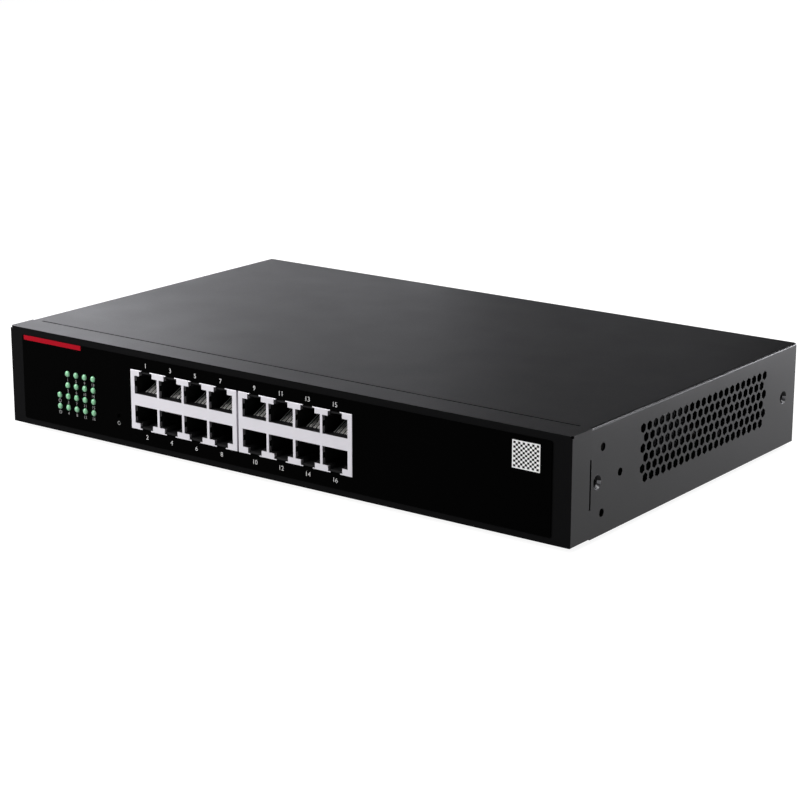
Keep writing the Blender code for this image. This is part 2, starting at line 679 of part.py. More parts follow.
def make_jack_housing(name, block_left):
    """Moulded block with a plug cavity for each port and slots at the back for the contact tongues."""
    inset = SHIELD + SEAT_GAP
    back = HOUSING_FRONT + HOUSING_DEPTH
    bm = bmesh.new()
    add_box(bm, (block_left + inset, HOUSING_FRONT, ON_BOARD + SEAT_GAP),
            (block_left + JACK_WIDTH - inset, back, BOTTOM + JACK_BOTTOM + JACK_HEIGHT - inset))
    housing = add_part(f"jack_housing_{name}", bm, BLACK_PLASTIC, 0.5, 0)
    cavities = bmesh.new()
    web = MIDDLE_WEB / 2
    top = web + CAVITY_HEIGHT + LATCH_HEIGHT
    add_ports(cavities, block_left, HOUSING_FRONT - SHEET, CAVITY_DEPTH + SHEET, half_width=CAVITY_WIDTH / 2,
              low=web, full=web + CAVITY_HEIGHT, step_half=LATCH_WIDTH / 2, step=top, slot_half=0, slot=0)
    combine(housing, f"plug_cavities_{name}", cavities, "DIFFERENCE")
    slots = bmesh.new()
    half = TONGUE_WIDTH / 2 + SEAT_GAP
    reach = web + SEAT_GAP
    for x in port_columns(block_left):
        add_box(slots, (x - half, HOUSING_FRONT + TONGUE_START - SEAT_GAP, JACK_MIDDLE - reach),
                (x + half, back + SHEET, JACK_MIDDLE + reach))
    combine(housing, f"tongue_slots_{name}", slots, "DIFFERENCE")


def make_contact_comb(name, block_left):
    """Insert that closes the back of a housing: a tongue for each column, with eight wires above and below."""
    inset = SHIELD + SEAT_GAP
    back = HOUSING_FRONT + HOUSING_DEPTH + SEAT_GAP
    bm = bmesh.new()
    add_box(bm, (block_left + inset, back, ON_BOARD), (block_left + JACK_WIDTH - inset, JACK_REAR - inset,
                                                       JACK_MIDDLE + MIDDLE_WEB))
    comb = add_part(f"contact_comb_{name}", bm, GOLD_PLATING, 0.3, 1)
    tongues = bmesh.new()
    wires = bmesh.new()
    half = TONGUE_WIDTH / 2
    web = MIDDLE_WEB / 2
    front = HOUSING_FRONT + TONGUE_START
    spread = CONTACT_PITCH * (CONTACT_COUNT - 1) / 2
    wire_box = Matrix.Diagonal((CONTACT_WIDTH, CONTACT_REACH, CONTACT_THICKNESS, 1))
    lean_in = Matrix.Translation((0, CONTACT_REACH / 2, 0))
    for x in port_columns(block_left):
        add_box(tongues, (x - half, front, JACK_MIDDLE - web), (x + half, back + SHEET, JACK_MIDDLE + web))
        for row in (1, -1):
            for contact in range(CONTACT_COUNT):
                root = (x - spread + contact * CONTACT_PITCH, front + SHEET, JACK_MIDDLE + row * web)
                lean = Matrix.Rotation(row * CONTACT_SLOPE, 4, "X")
                bmesh.ops.create_cube(wires, size=1, matrix=Matrix.Translation(root) @ lean @ lean_in @ wire_box)
    combine(comb, f"tongues_{name}", tongues, "UNION")
    combine(comb, f"contact_wires_{name}", wires, "UNION")


# Light pipes and reset switch

def make_light_pipe(name, x, rows):
    """Clear moulding: a domed head for each lens hole, and a bent arm from each head down to the board."""
    half = PIPE_THICKNESS / 2
    web_front = WALL_INSIDE + SEAT_GAP
    bm = bmesh.new()
    add_box(bm, (x - PIPE_WEB / 2, web_front, lens_level(0)),
            (x + PIPE_WEB / 2, web_front + PIPE_FIRST_LEG / 2, lens_level(rows - 1)))
    pipe = add_part(name, bm, GREEN_LENS, 0.2, 0)
    arms = bmesh.new()
    heads = bmesh.new()
    foot = ON_BOARD
    for row in range(rows):
        z = lens_level(row)
        leg = web_front + PIPE_FIRST_LEG + row * PIPE_LEG_STEP
        outline = [(web_front, z - half), (leg - PIPE_THICKNESS, z - half), (leg - PIPE_THICKNESS, foot), (leg, foot),
                   (leg, z), (leg - half, z + half), (web_front, z + half)]
        add_prism(arms, [(x - half, y, up) for y, up in outline], (PIPE_THICKNESS, 0, 0))
        tip = FRONT - FRONT_PROUD
        shoulder = tip + LENS_PROUD
        add_turned(heads, [(0, 0), (LENS_RADIUS * 0.6, LENS_PROUD * 0.2), (LENS_RADIUS, shoulder - tip),
                           (LENS_RADIUS, web_front + half - tip), (0, web_front + half - tip)],
                   (x, tip, z), (0, 1, 0), sides=HOLE_SIDES)
    combine(pipe, f"{name}_arms", arms, "UNION")
    combine(pipe, f"{name}_heads", heads, "UNION", smooth=True)


def make_reset_switch():
    """Push switch on the main board, with its button on a short stroke behind the pin hole."""
    x = LEFT + RESET_PLACE
    z = BOTTOM + RESET_HEIGHT
    tip = WALL_INSIDE + RESET_TIP_GAP
    body_front = tip + RESET_BUTTON_PROUD
    half = RESET_BODY_WIDTH / 2
    bm = bmesh.new()
    add_box(bm, (x - half, body_front, ON_BOARD),
            (x + half, body_front + RESET_BODY_DEPTH, z + RESET_BUTTON_RADIUS + RESET_BODY_WALL))
    body = add_part("reset_switch", bm, BLACK_PLASTIC, 0.5, 0)
    bore = bmesh.new()
    bore_depth = RESET_BUTTON_LENGTH - RESET_BUTTON_PROUD + RESET_STROKE + SEAT_GAP
    add_rod(bore, (x, body_front - SHEET, z), (x, body_front + bore_depth, z),
            RESET_BUTTON_RADIUS + RESET_BUTTON_GAP)
    combine(body, "reset_bore", bore, "DIFFERENCE", smooth=True)
    bm = bmesh.new()
    edge = RESET_BUTTON_RADIUS / 4
    add_turned(bm, [(0, 0), (RESET_BUTTON_RADIUS - edge, 0), (RESET_BUTTON_RADIUS, edge),
                    (RESET_BUTTON_RADIUS, RESET_BUTTON_LENGTH), (0, RESET_BUTTON_LENGTH)], (0, 0, 0), (0, 1, 0))
    button = add_part("reset_button", bm, BLACK_PLASTIC, 0.4, 0, smooth=True)
    button.location = (x, tip, z)


# Boards and what stands on them

def make_board(name, low, high, screws):
    bm = bmesh.new()
    add_box(bm, (*low, BOARD_UNDER), (*high, BOARD_TOP))
    board = add_part(name, bm, GREEN_BOARD, 0.4, 0)
    holes = bmesh.new()
    for x, y in screws:
        add_rod(holes, (x, y, BOARD_UNDER - SHEET), (x, y, BOARD_TOP + SHEET), BOARD_SCREW_RADIUS + SEAT_GAP,
                sides=HOLE_SIDES)
    combine(board, f"{name}_holes", holes, "DIFFERENCE")
    for index, (x, y) in enumerate(screws):
        bm = bmesh.new()
        add_turned(bm, [(0, 0), (BOARD_SCREW_HEAD_RADIUS, 0), (BOARD_SCREW_HEAD_RADIUS, BOARD_SCREW_HEAD),
                        (BOARD_SCREW_RADIUS, BOARD_SCREW_HEAD),
                        (BOARD_SCREW_RADIUS, BOARD_SCREW_HEAD + BOARD_SCREW_LENGTH),
                        (0, BOARD_SCREW_HEAD + BOARD_SCREW_LENGTH)],
                   (x, y, ON_BOARD + BOARD_SCREW_HEAD), (0, 0, -1), sides=HOLE_SIDES)
        add_part(f"{name}_screw_{index + 1}", bm, BARE_STEEL, 0.3, 1, smooth=True)


def make_switch_chip():
    """Square chip package behind the jacks, and the finned heat sink on it."""
    x = (JACKS_LEFT + JACKS_RIGHT) / 2
    y = JACK_REAR + CHIP_BEHIND_JACKS
    bm = bmesh.new()
    half = CHIP_SIZE / 2
    add_box(bm, (x - half, y - half, ON_BOARD), (x + half, y + half, ON_BOARD + CHIP_HEIGHT))
    add_part("switch_chip", bm, BLACK_RESIN, 0.5, 0)
    half = HEAT_SINK_SIZE / 2
    seat = ON_BOARD + CHIP_HEIGHT + SEAT_GAP
    fin_pitch = (HEAT_SINK_SIZE - FIN_THICKNESS) / (FIN_COUNT - 1)
    outline = [(x - half, seat), (x + half, seat)]
    for fin in reversed(range(FIN_COUNT)):
        fin_left = x - half + fin * fin_pitch
        foot = seat + HEAT_SINK_BASE
        tip = seat + HEAT_SINK_HEIGHT
        if fin < FIN_COUNT - 1:
            outline.append((fin_left + FIN_THICKNESS, foot))
        outline += [(fin_left + FIN_THICKNESS, tip), (fin_left, tip)]
        if fin > 0:
            outline.append((fin_left, foot))
    bm = bmesh.new()
    add_prism(bm, [(across, y - half, up) for across, up in outline], (0, HEAT_SINK_SIZE, 0))
    add_part("heat_sink", bm, BLACK_ANODISING, 0.4, 1)


def make_magnetics():
    """Row of line transformer modules behind the jacks."""
    pitch = (JACKS_RIGHT - JACKS_LEFT) / MAGNETICS_COUNT
    front = JACK_REAR + MAGNETICS_BEHIND_JACKS
    for module in range(MAGNETICS_COUNT):
        left = JACKS_LEFT + (module + 0.5) * pitch - MAGNETICS_WIDTH / 2
        bm = bmesh.new()
        add_box(bm, (left, front, ON_BOARD), (left + MAGNETICS_WIDTH, front + MAGNETICS_DEPTH,
                                              ON_BOARD + MAGNETICS_HEIGHT))
        top = max(bm.faces, key=lambda face: face.calc_center_median().z)
        bmesh.ops.bevel(bm, geom=list(top.edges), offset=MAGNETICS_CHAMFER, segments=1, profile=0.5,
                        affect="EDGES", material=-1)
        add_part(f"magnetics_{module + 1}", bm, BLACK_RESIN, 0.5, 0)


def make_power_parts():
    """Bulk capacitor, transformer, choke, fuse and heat plate on the power board."""
    bm = bmesh.new()
    rim = CAPACITOR_RADIUS / 10
    capacitor_x = POWER_LEFT + POWER_WIDTH / 4
    add_turned(bm, [(0, 0), (CAPACITOR_RADIUS - rim, 0), (CAPACITOR_RADIUS, rim),
                    (CAPACITOR_RADIUS, CAPACITOR_HEIGHT - rim), (CAPACITOR_RADIUS - rim, CAPACITOR_HEIGHT),
                    (0, CAPACITOR_HEIGHT)], (capacitor_x, POWER_BACK - CAPACITOR_PLACE, ON_BOARD), (0, 0, 1))
    add_part("bulk_capacitor", bm, CAPACITOR_SLEEVE, 0.4, 0, smooth=True)

    half = TRANSFORMER_WIDTH / 2
    depth = TRANSFORMER_DEPTH / 2
    y = POWER_BACK - TRANSFORMER_PLACE
    bm = bmesh.new()
    outline = [(-half, 0), (half, 0), (half, BOBBIN_LIP), (half - BOBBIN_LIP, BOBBIN_LIP),
               (half - BOBBIN_LIP, TRANSFORMER_HEIGHT - BOBBIN_LIP), (half, TRANSFORMER_HEIGHT - BOBBIN_LIP),
               (half, TRANSFORMER_HEIGHT), (-half, TRANSFORMER_HEIGHT), (-half, TRANSFORMER_HEIGHT - BOBBIN_LIP),
               (BOBBIN_LIP - half, TRANSFORMER_HEIGHT - BOBBIN_LIP), (BOBBIN_LIP - half, BOBBIN_LIP),
               (-half, BOBBIN_LIP)]
    add_prism(bm, [(POWER_MIDDLE + across, y - depth, ON_BOARD + up) for across, up in outline],
              (0, TRANSFORMER_DEPTH, 0))
    add_part("mains_transformer", bm, BLACK_TAPE, 0.5, 0)

    bm = bmesh.new()
    ring = Matrix.Translation((CHOKE_RADIUS, 0, 0)) @ Matrix.Rotation(math.radians(90), 4, "X")
    made = bmesh.ops.create_circle(bm, segments=HOLE_SIDES, radius=CHOKE_WIRE_RADIUS, matrix=ring)
    geometry = made["verts"] + list(bm.edges)
    bmesh.ops.spin(bm, geom=geometry, cent=(0, 0, 0), axis=(0, 0, 1), angle=math.tau, steps=ROUND_SIDES,
                   use_merge=True)
    bmesh.ops.remove_doubles(bm, verts=bm.verts, dist=MM / 10000)
    place = (POWER_MIDDLE + POWER_WIDTH / 4, POWER_BACK - CHOKE_PLACE, ON_BOARD + CHOKE_WIRE_RADIUS)
    bmesh.ops.translate(bm, verts=bm.verts, vec=place)
    add_part("mains_choke", bm, BROWN_ENAMEL, 0.4, 0.3, smooth=True)

    bm = bmesh.new()
    glass = FUSE_RADIUS - SEAT_GAP
    fuse_start = (POWER_LEFT + BOARD_HOLE_INSET + 2 * BOARD_SCREW_HEAD_RADIUS, POWER_BACK - FUSE_PLACE,
                  ON_BOARD + FUSE_RADIUS)
    add_turned(bm, [(0, 0), (FUSE_RADIUS, 0), (FUSE_RADIUS, FUSE_CAP), (glass, FUSE_CAP),
                    (glass, FUSE_LENGTH - FUSE_CAP), (FUSE_RADIUS, FUSE_LENGTH - FUSE_CAP),
                    (FUSE_RADIUS, FUSE_LENGTH), (0, FUSE_LENGTH)], fuse_start, (1, 0, 0), sides=HOLE_SIDES)
    add_part("mains_fuse", bm, CLEAR_GLASS, 0.2, 0, smooth=True)

    bm = bmesh.new()
    right = POWER_RIGHT - BOARD_HOLE_INSET
    wall = HEAT_PLATE_THICKNESS
    outline = [(0, 0), (-HEAT_PLATE_FOOT, 0), (-HEAT_PLATE_FOOT, wall), (-wall, wall), (-wall, HEAT_PLATE_HEIGHT),
               (0, HEAT_PLATE_HEIGHT)]
    y = POWER_BACK - HEAT_PLATE_PLACE
    add_prism(bm, [(right + across, y, ON_BOARD + up) for across, up in outline], (0, HEAT_PLATE_LENGTH, 0))
    add_part("heat_plate", bm, BLACK_ANODISING, 0.4, 1)


def make_low_voltage_lead():
    """Lead that arches from a plug on the power board to a plug on the main board."""
    y = POWER_FRONT + LEAD_PLACE
    plugs = [("lead_plug_main", MAIN_RIGHT - PLUG_INSET), ("lead_plug_power", POWER_LEFT + PLUG_INSET)]
    for name, x in plugs:
        bm = bmesh.new()
        add_box(bm, (x - PLUG_DEPTH / 2, y - PLUG_WIDTH / 2, ON_BOARD),
                (x + PLUG_DEPTH / 2, y + PLUG_WIDTH / 2, ON_BOARD + PLUG_HEIGHT))
        add_part(name, bm, WHITE_NYLON, 0.5, 0)
    start = plugs[0][1]
    span = plugs[1][1] - start
    level = ON_BOARD + PLUG_HEIGHT + SEAT_GAP
    curve = bpy.data.curves.new("low_voltage_lead", "CURVE")
    curve.dimensions = "3D"
    curve.bevel_depth = LEAD_RADIUS
    curve.bevel_resolution = 2
    curve.use_fill_caps = True
    spline = curve.splines.new("POLY")
    spline.points.add(LEAD_POINTS - 1)
    for index, point in enumerate(spline.points):
        angle = math.pi * index / (LEAD_POINTS - 1)
        x = start + span * (1 - math.cos(angle)) / 2
        point.co = (x, y, level + LEAD_RISE * math.sin(angle), 1)
    lead = bpy.data.objects.new("low_voltage_lead", curve)
    PARTS.objects.link(lead)
    finish(lead, RED_LEAD, 0.5, 0)


# Rear wall fittings

def make_mains_inlet():
    """Snap-in appliance inlet: flange, body and a cavity with two cut corners around three flat pins."""
    x = POWER_MIDDLE
    z = INLET_LEVEL
    mouth = REAR + INLET_FLANGE
    floor = mouth - INLET_CAVITY_DEPTH
    body_back = mouth - INLET_BODY_DEPTH
    bm = bmesh.new()
    add_box(bm, (x - INLET_FLANGE_WIDTH / 2, REAR + SEAT_GAP, z - INLET_FLANGE_HEIGHT / 2),
            (x + INLET_FLANGE_WIDTH / 2, mouth, z + INLET_FLANGE_HEIGHT / 2))
    upright = [edge for edge in bm.edges if abs(edge.verts[0].co.y - edge.verts[1].co.y) > INLET_FLANGE / 2]
    bmesh.ops.bevel(bm, geom=upright, offset=INLET_FLANGE, segments=3, profile=0.5, affect="EDGES", material=-1)
    inlet = add_part("mains_inlet", bm, BLACK_PLASTIC, 0.5, 0)
    body = bmesh.new()
    add_box(body, (x - INLET_BODY_WIDTH / 2, body_back, z - INLET_BODY_HEIGHT / 2),
            (x + INLET_BODY_WIDTH / 2, REAR + INLET_FLANGE / 2, z + INLET_BODY_HEIGHT / 2))
    combine(inlet, "inlet_body", body, "UNION")
    half = INLET_CAVITY_WIDTH / 2
    rise = INLET_CAVITY_HEIGHT / 2
    outline = [(-half, -rise), (half, -rise), (half, rise - INLET_CHAMFER), (half - INLET_CHAMFER, rise),
               (INLET_CHAMFER - half, rise), (-half, rise - INLET_CHAMFER)]
    cavity = bmesh.new()
    add_prism(cavity, [(x + across, floor, z + up) for across, up in outline], (0, 2 * INLET_CAVITY_DEPTH, 0))
    combine(inlet, "inlet_cavity", cavity, "DIFFERENCE")
    slots = bmesh.new()
    pins = [("live", -PIN_SPREAD, -PIN_RISE), ("neutral", PIN_SPREAD, -PIN_RISE), ("earth", 0, PIN_RISE)]
    for name, across, up in pins:
        half = Vector((PIN_THICKNESS / 2, 0, PIN_WIDTH / 2))
        middle = Vector((x + across, 0, z + up))
        gap = Vector((SEAT_GAP, 0, SEAT_GAP))
        add_box(slots, middle - half - gap + Vector((0, body_back - SHEET, 0)),
                middle + half + gap + Vector((0, floor + SHEET, 0)))
        bm = bmesh.new()
        add_box(bm, middle - half + Vector((0, body_back - PIN_TAIL, 0)),
                middle + half + Vector((0, mouth - PIN_SHORT_OF_MOUTH, 0)))
        add_part(f"inlet_pin_{name}", bm, BARE_STEEL, 0.25, 1)
    combine(inlet, "pin_slots", slots, "DIFFERENCE")


def make_earth_screw():
    """Round-headed earth screw beside the inlet."""
    head = INLET_FLANGE - SEAT_GAP
    rim = head / 3
    bm = bmesh.new()
    add_turned(bm, [(0, 0), (EARTH_SCREW_HEAD_RADIUS - rim, 0), (EARTH_SCREW_HEAD_RADIUS, rim),
                    (EARTH_SCREW_HEAD_RADIUS, head), (EARTH_SCREW_RADIUS, head),
                    (EARTH_SCREW_RADIUS, head + EARTH_SCREW_LENGTH), (0, head + EARTH_SCREW_LENGTH)],
               (EARTH_SCREW_X, REAR + INLET_FLANGE, INLET_LEVEL), (0, -1, 0))
    add_part("earth_screw", bm, BARE_STEEL, 0.3, 1, smooth=True)


make_base_tray()
make_top_cover()
make_front_overlay()
make_cover_screws()
make_feet()
for block_name, block_edge in jack_blocks():
    make_jack_shield(block_name, block_edge)
    make_jack_housing(block_name, block_edge)
    make_contact_comb(block_name, block_edge)
for pipe_name, pipe_x, pipe_rows in lens_columns():
    make_light_pipe(pipe_name, pipe_x, pipe_rows)
make_reset_switch()
make_board("main_board", (MAIN_LEFT, MAIN_FRONT), (MAIN_RIGHT, MAIN_BACK), main_board_screws())
make_board("power_board", (POWER_LEFT, POWER_FRONT), (POWER_RIGHT, POWER_BACK), power_board_screws())
make_switch_chip()
make_magnetics()
make_power_parts()
make_low_voltage_lead()
make_mains_inlet()
make_earth_screw()
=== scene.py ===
"""Looks of a desktop network switch: finishes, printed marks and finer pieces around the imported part."""
import math

import bmesh
import bpy
from mathutils import Matrix, Vector


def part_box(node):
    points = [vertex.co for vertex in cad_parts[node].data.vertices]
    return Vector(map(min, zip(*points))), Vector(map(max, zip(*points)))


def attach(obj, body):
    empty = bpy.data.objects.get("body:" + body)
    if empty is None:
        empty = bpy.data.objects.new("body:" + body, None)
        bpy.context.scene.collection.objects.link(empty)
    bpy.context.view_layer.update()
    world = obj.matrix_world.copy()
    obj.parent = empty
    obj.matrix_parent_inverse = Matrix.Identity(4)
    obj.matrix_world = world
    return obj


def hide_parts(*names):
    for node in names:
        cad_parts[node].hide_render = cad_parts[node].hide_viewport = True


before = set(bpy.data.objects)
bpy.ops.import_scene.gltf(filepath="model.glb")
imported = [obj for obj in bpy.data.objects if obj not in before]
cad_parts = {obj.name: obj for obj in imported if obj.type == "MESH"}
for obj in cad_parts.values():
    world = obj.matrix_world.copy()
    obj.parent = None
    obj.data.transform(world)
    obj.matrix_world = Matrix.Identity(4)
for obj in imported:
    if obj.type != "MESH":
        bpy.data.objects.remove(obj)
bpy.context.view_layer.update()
MM = 0.001
TOUCH = MM / 100
QUARTER_TURN = math.radians(90)

# Camera, with its place measured from the middle of the case
IMAGE = 800
SENSOR = 36
FOCAL_PIXELS = 2259.365
CAMERA_TURN = math.radians(36.475)
CAMERA_RISE = math.radians(15.409)
CAMERA_ROLL = math.radians(0.1)
CAMERA_AWAY = 992.765 * MM
CAMERA_ACROSS = 0.984 * MM
CAMERA_UP = -7.697 * MM
CASE_MIDDLE = Vector((0, -0.5 * MM, 24 * MM))

# Studio, in metres
FLOOR_HALF = 40
FLOOR_GREY = (0.25, 0.25, 0.25, 1)
FLOOR_GLOW = 0.9
WORLD_LIGHT = 0.03
WHITE = (1, 1, 1)
COOL = (0.948, 0.945, 1.0)

# Lamps: name, place, width, height, radiance, colour
LAMPS = [
    ("overhead", (0.1, 0.2, 2.0), 2.4, 2.4, 2.5, WHITE),
    ("left_high", (-1.379, 1.077, 0.62), 0.37, 0.52, 4.75, COOL),
    ("left_low", (-1.125, 1.341, 0.18), 0.37, 0.34, 2.75, COOL),
    ("left_end", (-0.822, 1.545, 0.18), 0.37, 0.34, 0.84, COOL),
    ("rear_strip", (0.88, 2.13, 1.6), 1.6, 0.25, 10.5, COOL),
    ("right_panel", (0.9, 0.5, 0.2), 0.5, 0.35, 3.15, COOL),
    ("right_low", (0.45, 1.0, 0.03), 0.4, 0.06, 166, COOL),
    ("front_fill", (-0.6, -0.6, 0.4), 0.6, 0.5, 10.5, WHITE),
    ("front_card", (0.75, -1.3, 0.5), 1.6, 0.3, 1.5, COOL),
]
GLOSS_CARDS = ("front_card",)

# Case
SHEET = 0.8 * MM
RIM_RADIUS = 0.12 * MM
SEAM_CLOSED = 0.09 * MM
FACES_FRONT = -0.9

# Bends of the cover and seats of its screws, by the tilt of their faces
BEND = 1.2 * MM
BEND_FROM = math.sin(math.radians(5))
BEND_TO = math.sin(math.radians(60))
WORN_FROM = math.radians(38)
WORN_TO = math.radians(52)
# Seat faces tilted upwards get bright bare steel: painted highlight where the light falls
SEAT_HIGHLIGHT_FROM = math.sin(math.radians(20))
SEAT_HIGHLIGHT_TO = math.sin(math.radians(60))

# Lip of the tray below the top seam, fillings of its corner reliefs and hem under its front
LIP_END = 5 * MM
LIP_START = 3 * MM
LIP_FOLD = 1 * MM
LIP_REACH = 2.7 * MM
LIP_SHEET = 0.6 * MM
LIP_CLEAR = 0.2 * MM
RELIEF = 1.3 * MM
RELIEF_LEFT = 0.95 * MM
HEM_DROP = 0.26 * MM
HEM_DEPTH = 0.8 * MM
HEM_END = 0.3 * MM

# Light pipes, by their number of heads
PIPES = {"light_pipe_status": 2, "light_pipe_1": 4, "light_pipe_2": 4, "light_pipe_3": 4, "light_pipe_4": 4}
LENS_PITCH = 5.08 * MM
LENS_RADIUS = 1.35 * MM
LENS_GAP = 0.15 * MM
LENS_PROUD = 0.6 * MM
LENS_SIDES = 32
DOME_STEPS = 6
LENS_SMOOTH = 50
PIPE_THICKNESS = 2 * MM
PIPE_FIRST_LEG = 6 * MM
PIPE_LEG_STEP = 4 * MM
PIPE_WEB_BACK = 2.1 * MM

# Front film
FILM_CORNER = 1 * MM
FILM_CORNER_STEPS = 8
FILM_TOP = 43.0 * MM
WINDOW_GAP = 0.05 * MM

# Ports, with levels measured from the middle of the jack blocks
PORT_COLUMNS = 4
PORT_PITCH = 13.97 * MM
SHIELD = 0.25 * MM
INSERT_REACH = 0.25 * MM
SHIELD_RIM = 0.2 * MM
LIP = 0.2 * MM
LIP_DEPTH = 1.35 * MM
MOUTH_HALF = 6.375 * MM
MOUTH_LIPS = [(2.75 * MM, 5.5 * MM), (7.9 * MM, 10.1 * MM)]
MOUTH_RELIEF = (5.9 * MM, 6.65 * MM, 2.65 * MM, 10.15 * MM)
LATCH_HALF = 3.65 * MM
LATCH_LIPS = [(10.5 * MM, 12.3 * MM)]
LATCH_RELIEF = (3.2 * MM, 3.95 * MM, 10.05 * MM, 12.35 * MM)
RELIEF_DEPTH = 1.35 * MM

# Contacts
WEB = 2.7 * MM
TONGUE_START = 3 * MM
TONGUE_WIDTH = 9 * MM
CONTACT_COUNT = 8
CONTACT_PITCH = 1.02 * MM
CONTACT_RADIUS = 0.24 * MM
CONTACT_SIDES = 8
CONTACT_STAGGER = 0.25 * MM
CONTACT_START = 0.5 * MM
CONTACT_STEPS = [(0.4 * MM, 0.12 * MM), (4.5 * MM, 2.1 * MM), (4.5 * MM, 2.1 * MM), (0.8 * MM, 0.1 * MM),
                 (1.5 * MM, -0.3 * MM)]

# Reset hole
RESET_RADIUS = 1 * MM

# Printed marks
INK = 0.02 * MM
FRONT = -1
REAR = 1
STROKE_THINNING = -0.004
TEXT_STEPS = 3
PORT_NUMBER_HEIGHT = 2 * MM
PORT_NUMBER_LEVELS = (40.0 * MM, 8.5 * MM)
PORT_NUMBER_SHIFT = 0.15 * MM
LAMP_NUMBER_HEIGHT = 1.35 * MM
LAMP_NUMBER_DROP = 2.6 * MM
STRIPE = (-138.5 * MM, -103.9 * MM, 40.83 * MM, 42.95 * MM)
LABEL = (120.6 * MM, 133.2 * MM, 29.6 * MM, 40.7 * MM)
LABEL_CELLS = 11
LABEL_MARGIN = 0.5 * MM
LABEL_GAP = 0.005 * MM
SIGN_RADIUS = 0.85 * MM
SIGN_STROKE = 0.24 * MM
ARC_STEPS = 24
FULL_RING = (0, 360)
POWER_ARC = (125, 290)
RESET_ARC = (90, 290)
RESET_SIGN_DROP = 3.1 * MM

# Earth sign
EARTH_SIGN_PLACE = (61 * MM, 23 * MM)
EARTH_STROKE = 0.5 * MM
EARTH_STEM = (0.7 * MM, 3 * MM)
EARTH_BAR_HALVES = (2.4 * MM, 1.6 * MM, 0.8 * MM)
EARTH_BAR_LEVEL = 0.2 * MM
EARTH_BAR_PITCH = 1.2 * MM

# Screws, inlet and feet
HEAD_DEEPER = 0.6 * MM
HEAD_RADIUS = 1.95 * MM
HEAD_EASE = 0.12 * MM
HEAD_HEIGHT = 0.6 * MM
SHANK_RADIUS = 1.4 * MM
SHANK_TIP = 0.6 * MM
RECESS_REACH = 1.25 * MM
RECESS_HALF = 0.28 * MM
RECESS_DEPTH = 0.9 * MM
EARTH_HEAD = 1.7 * MM
EARTH_SHANK_RADIUS = 2 * MM
INLET_RIM = 0.4 * MM
INLET_RIM_STEPS = 3
PIN_TIP = 0.4 * MM
TURNED_SIDES = 48

# Earth screw's round head: share of its radius, depth below its face
EARTH_HEAD_CURVE = [(0, 0), (0.5, 0.05 * MM), (0.8, 0.35 * MM), (0.95, 0.8 * MM), (1, 1.2 * MM),
                    (1, EARTH_HEAD)]

# Rim of a foot: distance inside its edge, height above the floor
FOOT_RIM = [(1.4 * MM, 0), (1 * MM, 0.15 * MM), (0.6 * MM, 0.15 * MM), (0.2 * MM, 0.5 * MM), (0, 0.9 * MM)]


class Wire:
    """An output socket that takes part in Python sums, each of which adds a Math node."""

    def __init__(self, finish, socket):
        self.finish = finish
        self.socket = socket

    def sum(self, operation, first, second):
        return self.finish.node("ShaderNodeMath", {"operation": operation}, {0: first, 1: second})

    def __add__(self, other):
        return self.sum("ADD", self, other)

    def __mul__(self, other):
        return self.sum("MULTIPLY", self, other)

    __radd__ = __add__
    __rmul__ = __mul__


class Finish:
    """One material, whose nodes are made from their type, settings and sockets."""

    def __init__(self, name):
        self.material = bpy.data.materials.new(name)
        self.material.use_nodes = True
        self.tree = self.material.node_tree
        self.shader = self.tree.nodes["Principled BSDF"]
        self.place = self.node("ShaderNodeTexCoord", {}, {}, "Object")

    def node(self, kind, settings, sockets, output=0):
        made = self.tree.nodes.new(kind)
        for name, value in settings.items():
            setattr(made, name, value)
        self.feed(made, sockets)
        return Wire(self, made.outputs[output])

    def feed(self, node, sockets):
        for name, value in sockets.items():
            if isinstance(value, Wire):
                self.tree.links.new(value.socket, node.inputs[name])
            else:
                node.inputs[name].default_value = value

    def stretched(self, scale):
        return self.node("ShaderNodeMapping", {}, {"Vector": self.place, "Scale": scale})

    def noise(self, scale, detail=2, place=None):
        sockets = {"Vector": place or self.place, "Scale": scale, "Detail": detail}
        return self.node("ShaderNodeTexNoise", {}, sockets)

    def mix(self, factor, low, high):
        return self.node("ShaderNodeMix", {"data_type": "RGBA"}, {0: factor, 6: (*low, 1), 7: (*high, 1)}, 2)

    def bump(self, height, depth, strength):
        return self.node("ShaderNodeBump", {}, {"Height": height, "Distance": depth, "Strength": strength})

    def shade(self, **sockets):
        self.feed(self.shader, {name.replace("_", " "): value for name, value in sockets.items()})


# Finishes, with the scales of their textures per metre

CLOUDS = 40
TARNISH = 120
LENS_CLOUDS = 300
WIRE_GRAIN = 900
LAMINATE_WEAVE = 1500
COPPER_RUNS = 260

# Scale of a wave texture that has one band in a metre
WAVE_PER_BAND = 0.314


def grained(name, dark, light, grain, roughness, metallic=0.0, depth=4e-6, specular=0.5):
    """A finish with a fine grain in its colour, gloss and relief, and slow clouds in its gloss."""
    finish = Finish(name)
    fine = finish.noise(1 / grain, 3)
    cloud = finish.noise(CLOUDS)
    finish.shade(Base_Color=finish.mix(fine * 0.7 + cloud * 0.3, dark, light),
                 Roughness=fine * 0.1 + cloud * 0.08 + (roughness - 0.09),
                 Metallic=metallic,
                 Specular_IOR_Level=specular,
                 Normal=finish.bump(fine, depth, 0.4))
    return finish.material


def brushed(name, dark, light, scale, roughness, metallic):
    """Plated or milled metal with fine drawn lines along the short scale, and a faint tarnish."""
    finish = Finish(name)
    lines = finish.noise(1, 2, finish.stretched(scale))
    tarnish = finish.noise(TARNISH, 3)
    finish.shade(Base_Color=finish.mix(lines * 0.4 + tarnish * 0.6, dark, light),
                 Roughness=lines * 0.12 + tarnish * 0.1 + (roughness - 0.11),
                 Metallic=metallic,
                 Normal=finish.bump(lines, 2e-6, 0.3))
    return finish.material


